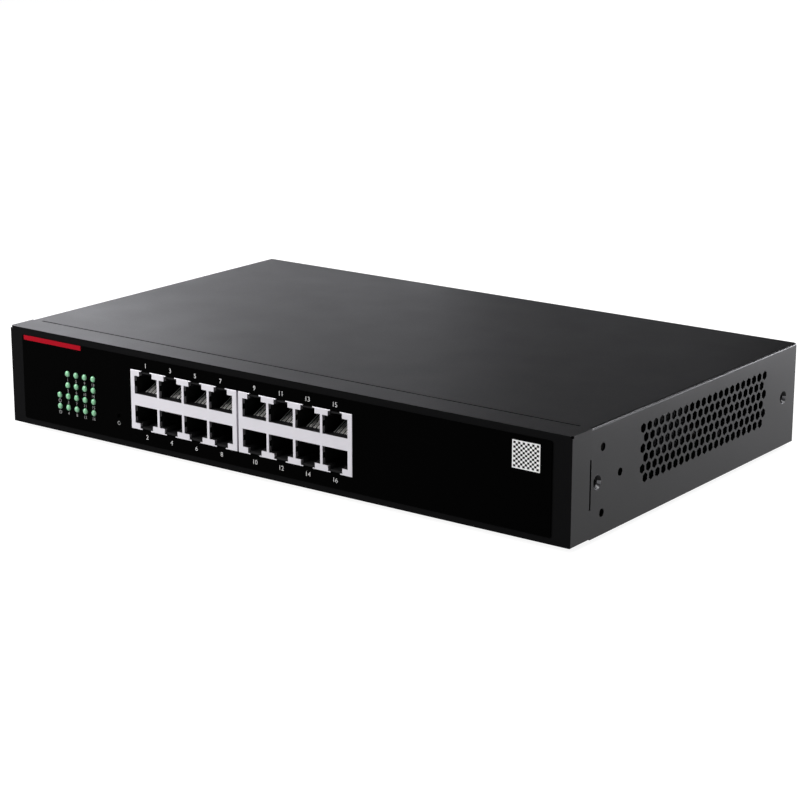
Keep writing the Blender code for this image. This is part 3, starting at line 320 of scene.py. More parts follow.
def lens_finish():
    """Green moulded light pipe, paler where the grain of the moulding thins."""
    finish = Finish("green_lens")
    cloud = finish.noise(LENS_CLOUDS)
    finish.shade(Base_Color=finish.mix(cloud, (0.17, 0.44, 0.235), (0.24, 0.54, 0.32)),
                 Roughness=cloud * 0.1 + 0.12,
                 Subsurface_Weight=0.3,
                 Subsurface_Radius=(0.3, 1, 0.5),
                 Subsurface_Scale=0.5 * MM)
    return finish.material


def banded(name, dark, light, direction, width, roughness, metallic=0.0):
    """Wound tape or wire: soft bands across a direction."""
    finish = Finish(name)
    bands = finish.node("ShaderNodeTexWave", {"bands_direction": direction},
                        {"Vector": finish.place, "Scale": WAVE_PER_BAND / width,
                         "Distortion": 0.6, "Detail": 1.0}, 1)
    grain = finish.noise(WIRE_GRAIN)
    finish.shade(Base_Color=finish.mix(bands * 0.8 + grain * 0.2, dark, light),
                 Roughness=bands * 0.12 + (roughness - 0.06),
                 Metallic=metallic,
                 Normal=finish.bump(bands, 6e-5, 0.5))
    return finish.material


def board_finish():
    """Solder mask over copper runs, with the weave of the laminate just showing."""
    finish = Finish("board_laminate")
    runs = finish.node("ShaderNodeTexBrick", {"offset": 0.37},
                       {"Vector": finish.place, "Scale": COPPER_RUNS, "Mortar Size": 0.09, "Brick Width": 1.7,
                        "Row Height": 0.32}, 1)
    weave = finish.noise(LAMINATE_WEAVE)
    finish.shade(Base_Color=finish.mix(runs * 0.7 + weave * 0.3, (0.003, 0.016, 0.007), (0.006, 0.03, 0.013)),
                 Roughness=weave * 0.1 + 0.3,
                 Normal=finish.bump(runs, 3e-5, 0.4))
    return finish.material


PAINT_DARK = (0.003, 0.003, 0.0032)
PAINT_LIGHT = (0.005, 0.005, 0.0053)
PAINT_GRAIN = 0.35 * MM
CASE_PAINT = grained("case_paint", PAINT_DARK, PAINT_LIGHT, PAINT_GRAIN, 0.38, specular=0.12)
FRONT_PAINT = grained("front_paint", (0.0046, 0.0046, 0.0048), (0.0077, 0.0077, 0.0081), PAINT_GRAIN, 0.5,
                      specular=0.006)
EDGE_PAINT = grained("edge_paint", PAINT_DARK, PAINT_LIGHT, PAINT_GRAIN, 0.2, depth=1e-6, specular=1.0)
BEND_PAINT = grained("bend_paint", PAINT_DARK, PAINT_LIGHT, PAINT_GRAIN, 0.38, specular=0.06)
# Bare steel on the upward-facing half of the screw seats: painted highlight
SEAT_HIGHLIGHT_STEEL = brushed("seat_highlight_steel", (0.12, 0.12, 0.125), (0.18, 0.18, 0.185), (3000, 600, 600), 0.3, 1.0)
SCREW_BLACK = grained("screw_black", (0.005, 0.005, 0.005), (0.012, 0.012, 0.012), 0.2 * MM, 0.5,
                      specular=0.03)
OVERLAY_FILM = grained("overlay_film", (0.0002, 0.0002, 0.0002), (0.0005, 0.0005, 0.0005), 0.2 * MM, 0.5,
                       depth=2e-6, specular=0.006)
JACK_PLATING = brushed("jack_plating", (0.573, 0.559, 0.597), (0.668, 0.649, 0.692), (300, 5000, 5000), 0.4,
                       0.25)
# Darker copy of the jack plating for the lips in the port mouths: painted shade
SHADED_LIP_PLATING = brushed("shaded_lip_plating", (0.25, 0.243, 0.26), (0.31, 0.303, 0.32), (5000, 300, 5000), 0.45, 0.25)
BLACK_PLASTIC = grained("black_plastic", (0.006, 0.006, 0.0065), (0.012, 0.012, 0.0125), 0.25 * MM, 0.5,
                        specular=0.06)
CONTACT_METAL = brushed("contact_gold", (0.9, 0.885, 0.86), (0.98, 0.965, 0.94), (4000, 300, 4000), 0.4, 0.1)
GREEN_LENS = lens_finish()
SCREW_STEEL = brushed("screw_steel", (0.22, 0.22, 0.23), (0.36, 0.36, 0.37), (3000, 3000, 600), 0.42, 1.0)
PIN_NICKEL = brushed("pin_nickel", (0.55, 0.54, 0.52), (0.7, 0.69, 0.66), (4000, 400, 4000), 0.25, 1.0)
FOOT_RUBBER = grained("foot_rubber", (0.008, 0.008, 0.008), (0.016, 0.016, 0.016), 0.3 * MM, 0.8, depth=1e-5,
                      specular=0.1)
BOARD_LAMINATE = board_finish()
CHIP_RESIN = grained("chip_resin", (0.005, 0.005, 0.0055), (0.01, 0.01, 0.0105), 0.15 * MM, 0.6,
                     specular=0.06)
BLACK_ANODISING = grained("black_anodising", (0.004, 0.004, 0.0045), (0.008, 0.008, 0.0085), 0.2 * MM, 0.6,
                          specular=0.05)
TRANSFORMER_TAPE = banded("transformer_tape", (0.008, 0.007, 0.006), (0.02, 0.018, 0.015), "Z", 4 * MM, 0.5)
CAPACITOR_SLEEVE = grained("capacitor_sleeve", (0.006, 0.007, 0.01), (0.012, 0.014, 0.02), 0.8 * MM, 0.5,
                           specular=0.06)
CHOKE_ENAMEL = banded("choke_enamel", (0.01, 0.004, 0.002), (0.024, 0.01, 0.004), "DIAGONAL", 0.9 * MM, 0.4,
                      0.2)
FUSE_GLASS = grained("fuse_glass", (0.2, 0.22, 0.22), (0.3, 0.32, 0.32), 0.6 * MM, 0.2)
PLUG_NYLON = grained("plug_nylon", (0.4, 0.38, 0.34), (0.5, 0.48, 0.44), 0.4 * MM, 0.5)
LEAD_SHEATH = grained("lead_sheath", (0.2, 0.012, 0.008), (0.3, 0.024, 0.016), 0.5 * MM, 0.45)
BUTTON_PLASTIC = grained("button_plastic", (0.25, 0.25, 0.25), (0.35, 0.35, 0.35), 0.2 * MM, 0.5,
                         specular=0.2)
LABEL_WHITE = grained("label_white", (0.9, 0.9, 0.9), (0.97, 0.97, 0.97), 0.12 * MM, 0.6, specular=0.2)
WHITE_INK = grained("white_ink", (0.6, 0.6, 0.6), (0.72, 0.72, 0.72), 0.12 * MM, 0.6, specular=0.2)
GREY_INK = grained("grey_ink", (0.24, 0.24, 0.24), (0.32, 0.32, 0.32), 0.12 * MM, 0.6, specular=0.2)
RED_INK = grained("red_ink", (0.29, 0.0015, 0.008), (0.37, 0.0035, 0.014), 0.2 * MM, 0.5, specular=0.04)
LABEL_INK = grained("label_ink", (0.006, 0.006, 0.006), (0.014, 0.014, 0.014), 0.2 * MM, 0.6, specular=0.1)

NODE_FINISHES = {
    "base_tray": CASE_PAINT, "top_cover": CASE_PAINT, "front_overlay": OVERLAY_FILM,
    "jack_shield": JACK_PLATING, "jack_housing": BLACK_PLASTIC, "contact_comb": CONTACT_METAL,
    "light_pipe": GREEN_LENS, "reset": BLACK_PLASTIC, "reset_button": BUTTON_PLASTIC,
    "main_board_screw": SCREW_STEEL, "power_board_screw": SCREW_STEEL, "cover_screw": SCREW_STEEL,
    "earth_screw": SCREW_STEEL, "foot": FOOT_RUBBER, "main_board": BOARD_LAMINATE,
    "power_board": BOARD_LAMINATE, "switch_chip": CHIP_RESIN, "magnetics": CHIP_RESIN,
    "heat": BLACK_ANODISING, "bulk_capacitor": CAPACITOR_SLEEVE, "mains_transformer": TRANSFORMER_TAPE,
    "mains_choke": CHOKE_ENAMEL, "mains_fuse": FUSE_GLASS, "lead_plug": PLUG_NYLON,
    "low_voltage_lead": LEAD_SHEATH, "mains_inlet": BLACK_PLASTIC, "inlet_pin": PIN_NICKEL,
}


def finish_nodes():
    """Gives each CAD node the finish of the longest name that it begins with."""
    for name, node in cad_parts.items():
        start = max((start for start in NODE_FINISHES if name.startswith(start)), key=len)
        node.data.materials.clear()
        node.data.materials.append(NODE_FINISHES[start])


# Shapes added to a bmesh

def add_box(bm, low, high):
    """Box between its lowest and highest corners."""
    middle = (Vector(low) + Vector(high)) / 2
    size = Vector(high) - Vector(low)
    bmesh.ops.create_cube(bm, size=1, matrix=Matrix.Translation(middle) @ Matrix.Diagonal((*size, 1)))


def axis_frame(start, axis):
    """Matrix that takes +Z to the axis and the origin to the start."""
    turn = Vector((0, 0, 1)).rotation_difference(Vector(axis))
    return Matrix.Translation(start) @ turn.to_matrix().to_4x4()


def add_rod(bm, start, end, radius, sides):
    """Closed round rod between two points."""
    along = Vector(end) - Vector(start)
    bmesh.ops.create_cone(bm, cap_ends=True, segments=sides, radius1=radius, radius2=radius,
                          depth=along.length, matrix=axis_frame((Vector(start) + Vector(end)) / 2, along))


def add_turned(bm, profile, start, axis, sides):
    """Solid of revolution: (radius, distance along the axis) pairs that begin and end on the axis."""
    before = set(bm.verts)
    chain = [bm.verts.new((radius, 0, distance)) for radius, distance in profile]
    edges = [bm.edges.new(pair) for pair in zip(chain, chain[1:])]
    bmesh.ops.spin(bm, geom=chain + edges, cent=(0, 0, 0), axis=(0, 0, 1), angle=math.tau, steps=sides,
                   use_merge=True)
    fresh = [vert for vert in bm.verts if vert not in before]
    bmesh.ops.remove_doubles(bm, verts=fresh, dist=TOUCH / 100)
    fresh = [vert for vert in bm.verts if vert not in before]
    bmesh.ops.transform(bm, matrix=axis_frame(start, axis), verts=fresh)


def add_prism(bm, outline, sweep):
    """Closed prism: a flat outline of points swept by a vector."""
    face = bm.faces.new([bm.verts.new(point) for point in outline])
    push(bm, [face], sweep)


def push(bm, faces, sweep):
    """Extrudes faces by a vector and returns the new ones. No old face is left inside."""
    edges = {edge for face in faces for edge in face.edges}
    swept = bmesh.ops.extrude_face_region(bm, geom=faces + list(edges))
    moved = [item for item in swept["geom"] if isinstance(item, bmesh.types.BMVert)]
    bmesh.ops.translate(bm, verts=moved, vec=sweep)
    return [item for item in swept["geom"] if isinstance(item, bmesh.types.BMFace)]


def ease(bm, edges, radius, segments=2):
    """Rounds edges."""
    bmesh.ops.bevel(bm, geom=edges, offset=radius, segments=segments, profile=0.5, affect="EDGES",
                    material=-1)


def on_plane(edge, axis, value):
    """Whether an edge lies where the axis has the value."""
    return all(abs(vert.co[axis] - value) < TOUCH for vert in edge.verts)


def merged_copy(node):
    """A node's shape with its loose triangles joined and its flat faces whole."""
    bm = bmesh.new()
    bm.from_mesh(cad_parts[node].data)
    bmesh.ops.remove_doubles(bm, verts=bm.verts, dist=TOUCH / 10)
    bmesh.ops.dissolve_limit(bm, angle_limit=math.radians(0.5), verts=bm.verts, edges=bm.edges)
    bm.normal_update()
    return bm


def outward(bm):
    """Turns the faces of closed shapes outwards."""
    bmesh.ops.recalc_face_normals(bm, faces=bm.faces)
    return bm


def carved(bm, cutter):
    """Cuts one closed shape out of another."""
    shapes = []
    for name, shape in (("carved", bm), ("cutter", cutter)):
        mesh = bpy.data.meshes.new(name)
        outward(shape).to_mesh(mesh)
        shape.free()
        shapes.append(bpy.data.objects.new(name, mesh))
        bpy.context.scene.collection.objects.link(shapes[-1])
    modifier = shapes[0].modifiers.new("cut", "BOOLEAN")
    modifier.object = shapes[1]
    modifier.solver = "EXACT"
    modifier.use_self = True
    result = bmesh.new()
    result.from_object(shapes[0], bpy.context.evaluated_depsgraph_get())
    for shape in shapes:
        bpy.data.objects.remove(shape)
    return result


def add_piece(name, bm, finishes, replaced=(), smooth=30):
    """Links a shape as a piece of the switch, with its finishes and the nodes it stands for."""
    mesh = bpy.data.meshes.new(name)
    bm.to_mesh(mesh)
    bm.free()
    mesh.shade_smooth()
    mesh.set_sharp_from_angle(angle=math.radians(smooth))
    for finish in finishes:
        mesh.materials.append(finish)
    piece = bpy.data.objects.new(name, mesh)
    bpy.context.scene.collection.objects.link(piece)
    normals = piece.modifiers.new("flat_faces", "WEIGHTED_NORMAL")
    normals.keep_sharp = True
    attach(piece, "switch")
    if replaced:
        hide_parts(*replaced)


# Case

COVER_FINISHES = [CASE_PAINT, EDGE_PAINT, BEND_PAINT, SEAT_HIGHLIGHT_STEEL]
TRAY_FINISHES = [CASE_PAINT, FRONT_PAINT]


def wear_bend(bm, middle, way):
    """Polishes a narrow strip of the bend round a middle line, and dulls the bend beside it."""
    bend = []
    for face in bm.faces:
        outwards = face.normal.x * way > 0
        above = face.calc_center_median().z > middle.z
        if outwards and above and BEND_FROM < face.normal.z < BEND_TO:
            bend.append(face)
    for angle in (WORN_FROM, WORN_TO):
        up = Vector((-way * math.sin(angle), 0, math.cos(angle)))
        edges = {edge for face in bend for edge in face.edges}
        verts = {vert for face in bend for vert in face.verts}
        whole = bend + list(edges) + list(verts)
        cut = bmesh.ops.bisect_plane(bm, geom=whole, plane_co=middle, plane_no=up)
        bend = [item for item in cut["geom"] if isinstance(item, bmesh.types.BMFace)]
    for face in bend:
        out = face.calc_center_median() - middle
        worn = WORN_FROM < math.atan2(out.z, out.x * way) < WORN_TO
        face.material_index = COVER_FINISHES.index(EDGE_PAINT if worn else BEND_PAINT)


def make_case():
    """Cover with polished bends, a tight seam and screw seats bare on their upward-facing half as a painted
    highlight, and tray with a hem and a lip.
    """
    low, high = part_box("top_cover")
    seam = low.y
    bm = merged_copy("top_cover")
    for vert in bm.verts:
        if abs(vert.co.y - seam) < TOUCH:
            vert.co.y -= SEAM_CLOSED
    # The upward-facing half of each screw seat gets bare steel: painted highlight where the light falls
    for face in bm.faces:
        middle = face.calc_center_median()
        turn = face.normal.x * math.copysign(1, middle.x)
        if middle.z < high.z - BEND and face.normal.z > 0 and SEAT_HIGHLIGHT_FROM < turn < SEAT_HIGHLIGHT_TO:
            face.material_index = COVER_FINISHES.index(SEAT_HIGHLIGHT_STEEL)
    wear_bend(bm, Vector((low.x + BEND, seam, high.z - BEND)), -1)
    wear_bend(bm, Vector((high.x - BEND, seam, high.z - BEND)), 1)
    add_piece("cover_shell", bm, COVER_FINISHES, ["top_cover"])

    low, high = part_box("base_tray")
    bm = merged_copy("base_tray")
    rim = []
    for edge in bm.edges:
        sides = on_plane(edge, 0, low.x) or on_plane(edge, 0, high.x) or on_plane(edge, 2, high.z)
        if on_plane(edge, 1, low.y) and sides:
            rim.append(edge)
    ease(bm, rim, RIM_RADIUS)
    add_box(bm, (low.x + HEM_END, low.y, low.z - HEM_DROP), (high.x - HEM_END, low.y + HEM_DEPTH, low.z))
    left = low.x + LIP_END
    right = high.x - LIP_END
    under = high.z - SHEET
    add_box(bm, (left, seam - LIP_START, under - LIP_SHEET), (right, seam - LIP_FOLD, under))
    add_box(bm, (left, seam - LIP_FOLD, under - LIP_SHEET), (right, seam + LIP_REACH, under - LIP_CLEAR))
    for edge, way in ((low.x, 1), (high.x, -1)):
        far = edge + way * RELIEF
        near = edge + way * RELIEF_LEFT
        fills = [((far, low.y, high.z - RELIEF), (near, low.y + RELIEF, high.z)),
                 ((near, low.y, high.z - RELIEF), (edge, low.y + RELIEF, high.z - RELIEF_LEFT)),
                 ((near, low.y + RELIEF_LEFT, high.z - RELIEF_LEFT), (edge, low.y + RELIEF, high.z))]
        for start, end in fills:
            add_box(bm, (min(start[0], end[0]), *start[1:]), (max(start[0], end[0]), *end[1:]))
    bm.normal_update()
    for face in bm.faces:
        if face.normal.y < FACES_FRONT:
            face.material_index = TRAY_FINISHES.index(FRONT_PAINT)
    add_piece("tray_shell", bm, TRAY_FINISHES, ["base_tray"])


def pipe_heads(node):
    """Places (x, z) of the heads of a light pipe, from the top down."""
    low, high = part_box(node)
    x = (low.x + high.x) / 2
    return [(x, high.z - LENS_RADIUS - row * LENS_PITCH) for row in range(PIPES[node])]


def reset_place():
    """Place (x, z) of the reset button."""
    low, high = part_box("reset_button")
    return (low.x + high.x) / 2, (low.z + high.z) / 2


def make_film():
    """Front film with round corners, clean round holes and one window for both jack blocks."""
    low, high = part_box("front_overlay")
    bm = bmesh.new()
    add_box(bm, low, (high.x, high.y, FILM_TOP))
    corners = [edge for edge in bm.edges if abs(edge.verts[0].co.y - edge.verts[1].co.y) > TOUCH]
    ease(bm, corners, FILM_CORNER, FILM_CORNER_STEPS)
    cutter = bmesh.new()
    holes = [(x, z, LENS_RADIUS + LENS_GAP) for node in PIPES for x, z in pipe_heads(node)]
    holes.append((*reset_place(), RESET_RADIUS))
    for x, z, radius in holes:
        add_rod(cutter, (x, low.y - MM, z), (x, high.y + MM, z), radius, LENS_SIDES)
    left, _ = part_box("jack_shield_left")
    _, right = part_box("jack_shield_right")
    gap = Vector((WINDOW_GAP, 0, WINDOW_GAP))
    add_box(cutter, Vector((left.x, low.y - MM, left.z)) - gap, Vector((right.x, high.y + MM, right.z)) + gap)
    add_piece("front_film", carved(bm, cutter), [OVERLAY_FILM], ["front_overlay"])


# Jack blocks

CAN_FINISHES = [JACK_PLATING, SHADED_LIP_PLATING]


def port_columns(side):
    """Middles (x, z) of the pairs of ports of a jack block, from the left."""
    low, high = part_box(f"jack_shield_{side}")
    middle = (low + high) / 2
    first = middle.x - PORT_PITCH * (PORT_COLUMNS - 1) / 2
    return [(first + index * PORT_PITCH, middle.z) for index in range(PORT_COLUMNS)]


def add_port_boxes(bm, place, across, depth, levels):
    """Boxes on both side walls of a pair of ports: across, depth and level as (low, high) pairs."""
    for row in (1, -1):
        up = sorted(place[1] + row * level for level in levels)
        for side in (1, -1):
            wide = sorted(place[0] + side * reach for reach in across)
            add_box(bm, (wide[0], depth[0], up[0]), (wide[1], depth[1], up[1]))


def add_contact(bm, start, row):
    """Round spring wire that rises from the front of its tongue and turns flat at the back."""
    made = bmesh.ops.create_circle(bm, cap_ends=True, segments=CONTACT_SIDES, radius=CONTACT_RADIUS,
                                   matrix=axis_frame(start, (0, 1, 0)))
    faces = [made["verts"][0].link_faces[0]]
    for along, up in CONTACT_STEPS:
        faces = push(bm, faces, (0, along, row * up))


def make_can(side):
    """Plated shield with an eased rim and folded lips in its port mouths; the lips take a darker plating as
    painted shade.
    """
    low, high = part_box(f"jack_shield_{side}")
    bm = merged_copy(f"jack_shield_{side}")
    rim = []
    for edge in bm.edges:
        ends = on_plane(edge, 0, low.x) or on_plane(edge, 0, high.x) or on_plane(edge, 2, high.z)
        if on_plane(edge, 1, low.y) and ends:
            rim.append(edge)
    ease(bm, rim, SHIELD_RIM)
    back = low.y + SHIELD
    plate = set(bm.faces)
    for place in port_columns(side):
        for reach, lips in ((MOUTH_HALF, MOUTH_LIPS), (LATCH_HALF, LATCH_LIPS)):
            for levels in lips:
                add_port_boxes(bm, place, (reach, reach + LIP), (back, back + LIP_DEPTH), levels)
    # The lips take the darker plating: painted shade inside the port mouths
    for face in bm.faces:
        if face not in plate:
            face.material_index = CAN_FINISHES.index(SHADED_LIP_PLATING)
    add_piece(f"jack_can_{side}", bm, CAN_FINISHES, [f"jack_shield_{side}"])


def make_body(side):
    """Moulded body with reliefs for the lips of the shield."""
    low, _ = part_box(f"jack_housing_{side}")
    reliefs = bmesh.new()
    for place in port_columns(side):
        for relief in (MOUTH_RELIEF, LATCH_RELIEF):
            add_port_boxes(reliefs, place, relief[:2], (low.y - MM, low.y + RELIEF_DEPTH), relief[2:])
    body = carved(merged_copy(f"jack_housing_{side}"), reliefs)
    add_piece(f"jack_body_{side}", body, [BLACK_PLASTIC], [f"jack_housing_{side}"])


def make_contacts(side):
    """Insert with a tongue in each pair of ports, and staggered spring wires above and below it."""
    comb_low, comb_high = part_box(f"contact_comb_{side}")
    low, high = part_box(f"jack_housing_{side}")
    front = low.y + TONGUE_START
    back = high.y + INSERT_REACH
    insert = bmesh.new()
    add_box(insert, (comb_low.x, back, comb_low.z), comb_high)
    wires = bmesh.new()
    spread = CONTACT_PITCH * (CONTACT_COUNT - 1) / 2
    half = TONGUE_WIDTH / 2
    for x, z in port_columns(side):
        add_box(insert, (x - half, front, z - WEB), (x + half, back, z + WEB))
        for row in (1, -1):
            for contact in range(CONTACT_COUNT):
                stagger = contact % 2 * CONTACT_STAGGER
                start = Vector((x - spread + contact * CONTACT_PITCH, front + CONTACT_START + stagger,
                                z + row * (WEB - stagger / 2)))
                add_contact(wires, start, row)
    comb = [f"contact_comb_{side}"]
    add_piece(f"contact_insert_{side}", outward(insert), [BLACK_PLASTIC], comb)
    add_piece(f"contact_wires_{side}", outward(wires), [CONTACT_METAL], comb)


# Light pipes

def make_light_pipes():
    """Each pipe has round domed heads, and bent arms that go down to the board."""
    half = PIPE_THICKNESS / 2
    head_end = PIPE_WEB_BACK + half
    head = []
    for step in range(DOME_STEPS + 1):
        angle = QUARTER_TURN * step / DOME_STEPS
        head.append((LENS_RADIUS * math.sin(angle), LENS_PROUD * (1 - math.cos(angle))))
    head += [(LENS_RADIUS, head_end), (0, head_end)]
    for node in PIPES:
        low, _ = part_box(node)
        web = low.y + PIPE_WEB_BACK
        bm = bmesh.new()
        for index, (x, z) in enumerate(reversed(pipe_heads(node))):
            leg = web + PIPE_FIRST_LEG + index * PIPE_LEG_STEP
            outline = [(web, z - half), (leg - PIPE_THICKNESS, z - half), (leg - PIPE_THICKNESS, low.z),
                       (leg, low.z), (leg, z), (leg - half, z + half), (web, z + half)]
            add_prism(bm, [(x - half, y, up) for y, up in outline], (PIPE_THICKNESS, 0, 0))
            add_turned(bm, head, (x, low.y, z), (0, 1, 0), LENS_SIDES)
        name = node.replace("light_pipe", "lens_heads")
        add_piece(name, outward(bm), [GREEN_LENS], [node], smooth=LENS_SMOOTH)


# Screws, feet and rear fittings

def add_screw(name, node, profile, face, inwards, finish):
    """Turned screw with a cross recess in its face."""
    bm = bmesh.new()
    add_turned(bm, profile, face, inwards, TURNED_SIDES)
    recess = bmesh.new()
    depth = Vector([abs(part) for part in inwards]) * RECESS_DEPTH
    across = Vector((0, 0, 1)).cross(inwards)
    for reach, half in ((RECESS_REACH, RECESS_HALF), (RECESS_HALF, RECESS_REACH)):
        size = depth + Vector([abs(part) for part in across]) * reach + Vector((0, 0, half))
        add_box(recess, face - size, face + size)
    add_piece(name, carved(bm, recess), [finish], [node])


def shank(radius, start, end):
    """Profile of a screw's shank from its head to its eased tip."""
    return [(radius, start), (radius, end - SHANK_TIP), (radius - SHANK_TIP, end), (0, end)]


def make_screws():
    """Black cover screws, sunk below the sides, and the bright earth screw on the rear wall."""
    for node in sorted(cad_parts):
        if node.startswith("cover_screw"):
            low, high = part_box(node)
            middle = (low + high) / 2
            side = math.copysign(1, middle.x)
            outer = high.x if side > 0 else low.x
            face = Vector((outer - side * HEAD_DEEPER, middle.y, middle.z))
            length = high.x - low.x - HEAD_DEEPER
            profile = [(0, 0), (HEAD_RADIUS - HEAD_EASE, 0), (HEAD_RADIUS, HEAD_EASE)]
            profile += shank(SHANK_RADIUS, HEAD_HEIGHT, length)
            name = node.replace("cover_screw", "screw")
            add_screw(name, node, profile, face, Vector((-side, 0, 0)), SCREW_BLACK)

    low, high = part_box("earth_screw")
    middle = (low + high) / 2
    radius = (high.x - low.x) / 2
    length = high.y - low.y
    profile = [(share * radius, depth) for share, depth in EARTH_HEAD_CURVE]
    profile += shank(EARTH_SHANK_RADIUS, EARTH_HEAD, length)
    face = Vector((middle.x, high.y, middle.z))
    add_screw("earth_bolt", "earth_screw", profile, face, Vector((0, -1, 0)), SCREW_STEEL)


def make_inlet():
    """Mains inlet with soft rims, and pins with eased tips."""
    _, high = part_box("mains_inlet")
    bm = merged_copy("mains_inlet")
    ease(bm, [edge for edge in bm.edges if on_plane(edge, 1, high.y)], INLET_RIM, INLET_RIM_STEPS)
    add_piece("inlet_shell", bm, [BLACK_PLASTIC], ["mains_inlet"])
    for pin in ("live", "neutral", "earth"):
        node = f"inlet_pin_{pin}"
        _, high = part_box(node)
        bm = merged_copy(node)
        ease(bm, [edge for edge in bm.edges if on_plane(edge, 1, high.y)], PIN_TIP)
        add_piece(f"pin_{pin}", bm, [PIN_NICKEL], [node])


def make_feet():
    """Turned rubber feet with a shallow step and a soft rim round their faces."""
    for node in sorted(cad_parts):
        if node.startswith("foot"):
            low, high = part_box(node)
            radius = (high.x - low.x) / 2
            height = high.z - low.z
            rim = [(radius - inside, up) for inside, up in FOOT_RIM]
            profile = [(0, 0), *rim, (radius, height), (0, height)]
            start = ((low.x + high.x) / 2, (low.y + high.y) / 2, low.z)
            bm = bmesh.new()
            add_turned(bm, profile, start, (0, 0, 1), TURNED_SIDES)
            add_piece(node.replace("foot", "pad"), outward(bm), [FOOT_RUBBER], [node])


# Printed marks

STAND = Matrix.Rotation(QUARTER_TURN, 4, "X")


def add_text(bm, body, height, x, z, face):
    """Adds characters of a given height, centred on a place of the front film."""
    curve = bpy.data.curves.new("mark", "FONT")
    curve.body = body
    curve.size = 1
    curve.resolution_u = TEXT_STEPS
    curve.offset = STROKE_THINNING
    word = bpy.data.objects.new("mark", curve)
    bpy.context.scene.collection.objects.link(word)
    mesh = bpy.data.meshes.new_from_object(word.evaluated_get(bpy.context.evaluated_depsgraph_get()))
    corners = [vert.co for vert in mesh.vertices]
    low = Vector((min(co.x for co in corners), min(co.y for co in corners), 0))
    high = Vector((max(co.x for co in corners), max(co.y for co in corners), 0))
    scale = height / (high.y - low.y)
    mesh.transform(Matrix.Translation((x, face, z)) @ STAND @ Matrix.Scale(scale, 4)
                   @ Matrix.Translation(-(low + high) / 2))
    bm.from_mesh(mesh)
    bpy.data.objects.remove(word)


def add_patch(bm, low, high, face):
    """Flat upright rectangle between two (x, z) corners."""
    middle = ((low[0] + high[0]) / 2, face, (low[1] + high[1]) / 2)
    size = Matrix.Diagonal(((high[0] - low[0]) / 2, (high[1] - low[1]) / 2, 1, 1))
    bmesh.ops.create_grid(bm, x_segments=1, y_segments=1, size=1,
                          matrix=Matrix.Translation(middle) @ STAND @ size)


def add_arc(bm, x, z, face, start, sweep):
    """Flat upright ring or part of one, by its starting angle from the right and its sweep, in degrees."""
    way = Vector((math.cos(math.radians(start)), 0, math.sin(math.radians(start))))
    middle = Vector((x, face, z))
    ends = [bm.verts.new(middle + way * radius) for radius in (SIGN_RADIUS - SIGN_STROKE, SIGN_RADIUS)]
    bmesh.ops.spin(bm, geom=ends + [bm.edges.new(ends)], cent=middle, axis=(0, -1, 0),
                   angle=math.radians(sweep), steps=ARC_STEPS, use_merge=(start, sweep) == FULL_RING)


def raise_ink(bm, way):
    """Gives flat marks the thickness of printing ink, towards the front or the rear."""
    push(bm, list(bm.faces), (0, way * INK, 0))
    return outward(bm)


def make_numbers(face):
    """Port numbers above and below the jacks, and small lamp numbers under the lens heads."""
    ports = bmesh.new()
    for index, (x, _) in enumerate(port_columns("left") + port_columns("right")):
        for step, level in enumerate(PORT_NUMBER_LEVELS):
            add_text(ports, str(2 * index + step + 1), PORT_NUMBER_HEIGHT, x + PORT_NUMBER_SHIFT, level, face)
    add_piece("port_numbers", raise_ink(ports, FRONT), [WHITE_INK])
    lamps = bmesh.new()
    places = [place for node in list(PIPES)[1:] for place in pipe_heads(node)]
    for index, (x, z) in enumerate(places):
        add_text(lamps, str(index + 1), LAMP_NUMBER_HEIGHT, x, z - LAMP_NUMBER_DROP, face)
    add_piece("lamp_numbers", raise_ink(lamps, FRONT), [GREY_INK])


def make_signs(face):
    """A ring and a power sign under the status lamps, and a turning arrow under the reset hole."""
    bm = bmesh.new()
    half = SIGN_STROKE / 2
    ring, power = [(x, z - LAMP_NUMBER_DROP) for x, z in pipe_heads("light_pipe_status")]
    add_arc(bm, *ring, face, *FULL_RING)
    add_arc(bm, *power, face, *POWER_ARC)
    add_patch(bm, (power[0] - half, power[1]), (power[0] + half, power[1] + SIGN_RADIUS), face)
    x, z = reset_place()
    z -= RESET_SIGN_DROP
    add_arc(bm, x, z, face, *RESET_ARC)
    top = z + SIGN_RADIUS
    tip = [(x, top + half), (x, top - 3 * half), (x + 3 * half, top - half)]
    bm.faces.new([bm.verts.new((across, face, up)) for across, up in tip])
    add_piece("lamp_signs", raise_ink(bm, FRONT), [GREY_INK])


def make_label(face):
    """White label with a plain check at the right, and a plain stripe at the left."""
    stripe = bmesh.new()
    add_patch(stripe, (STRIPE[0], STRIPE[2]), (STRIPE[1], STRIPE[3]), face)
    add_piece("plain_stripe", raise_ink(stripe, FRONT), [RED_INK])
    plate = bmesh.new()
    add_patch(plate, (LABEL[0], LABEL[2]), (LABEL[1], LABEL[3]), face)
    add_piece("plain_label", raise_ink(plate, FRONT), [LABEL_WHITE])
    check = bmesh.new()
    wide = (LABEL[1] - LABEL[0] - 2 * LABEL_MARGIN) / LABEL_CELLS
    tall = (LABEL[3] - LABEL[2] - 2 * LABEL_MARGIN) / LABEL_CELLS
    for column in range(LABEL_CELLS):
        for row in range(column % 2, LABEL_CELLS, 2):
            x = LABEL[0] + LABEL_MARGIN + column * wide
            z = LABEL[2] + LABEL_MARGIN + row * tall
            low = (x + LABEL_GAP, z + LABEL_GAP)
            add_patch(check, low, (x + wide - LABEL_GAP, z + tall - LABEL_GAP), face - INK)
    add_piece("label_check", raise_ink(check, FRONT), [LABEL_INK])


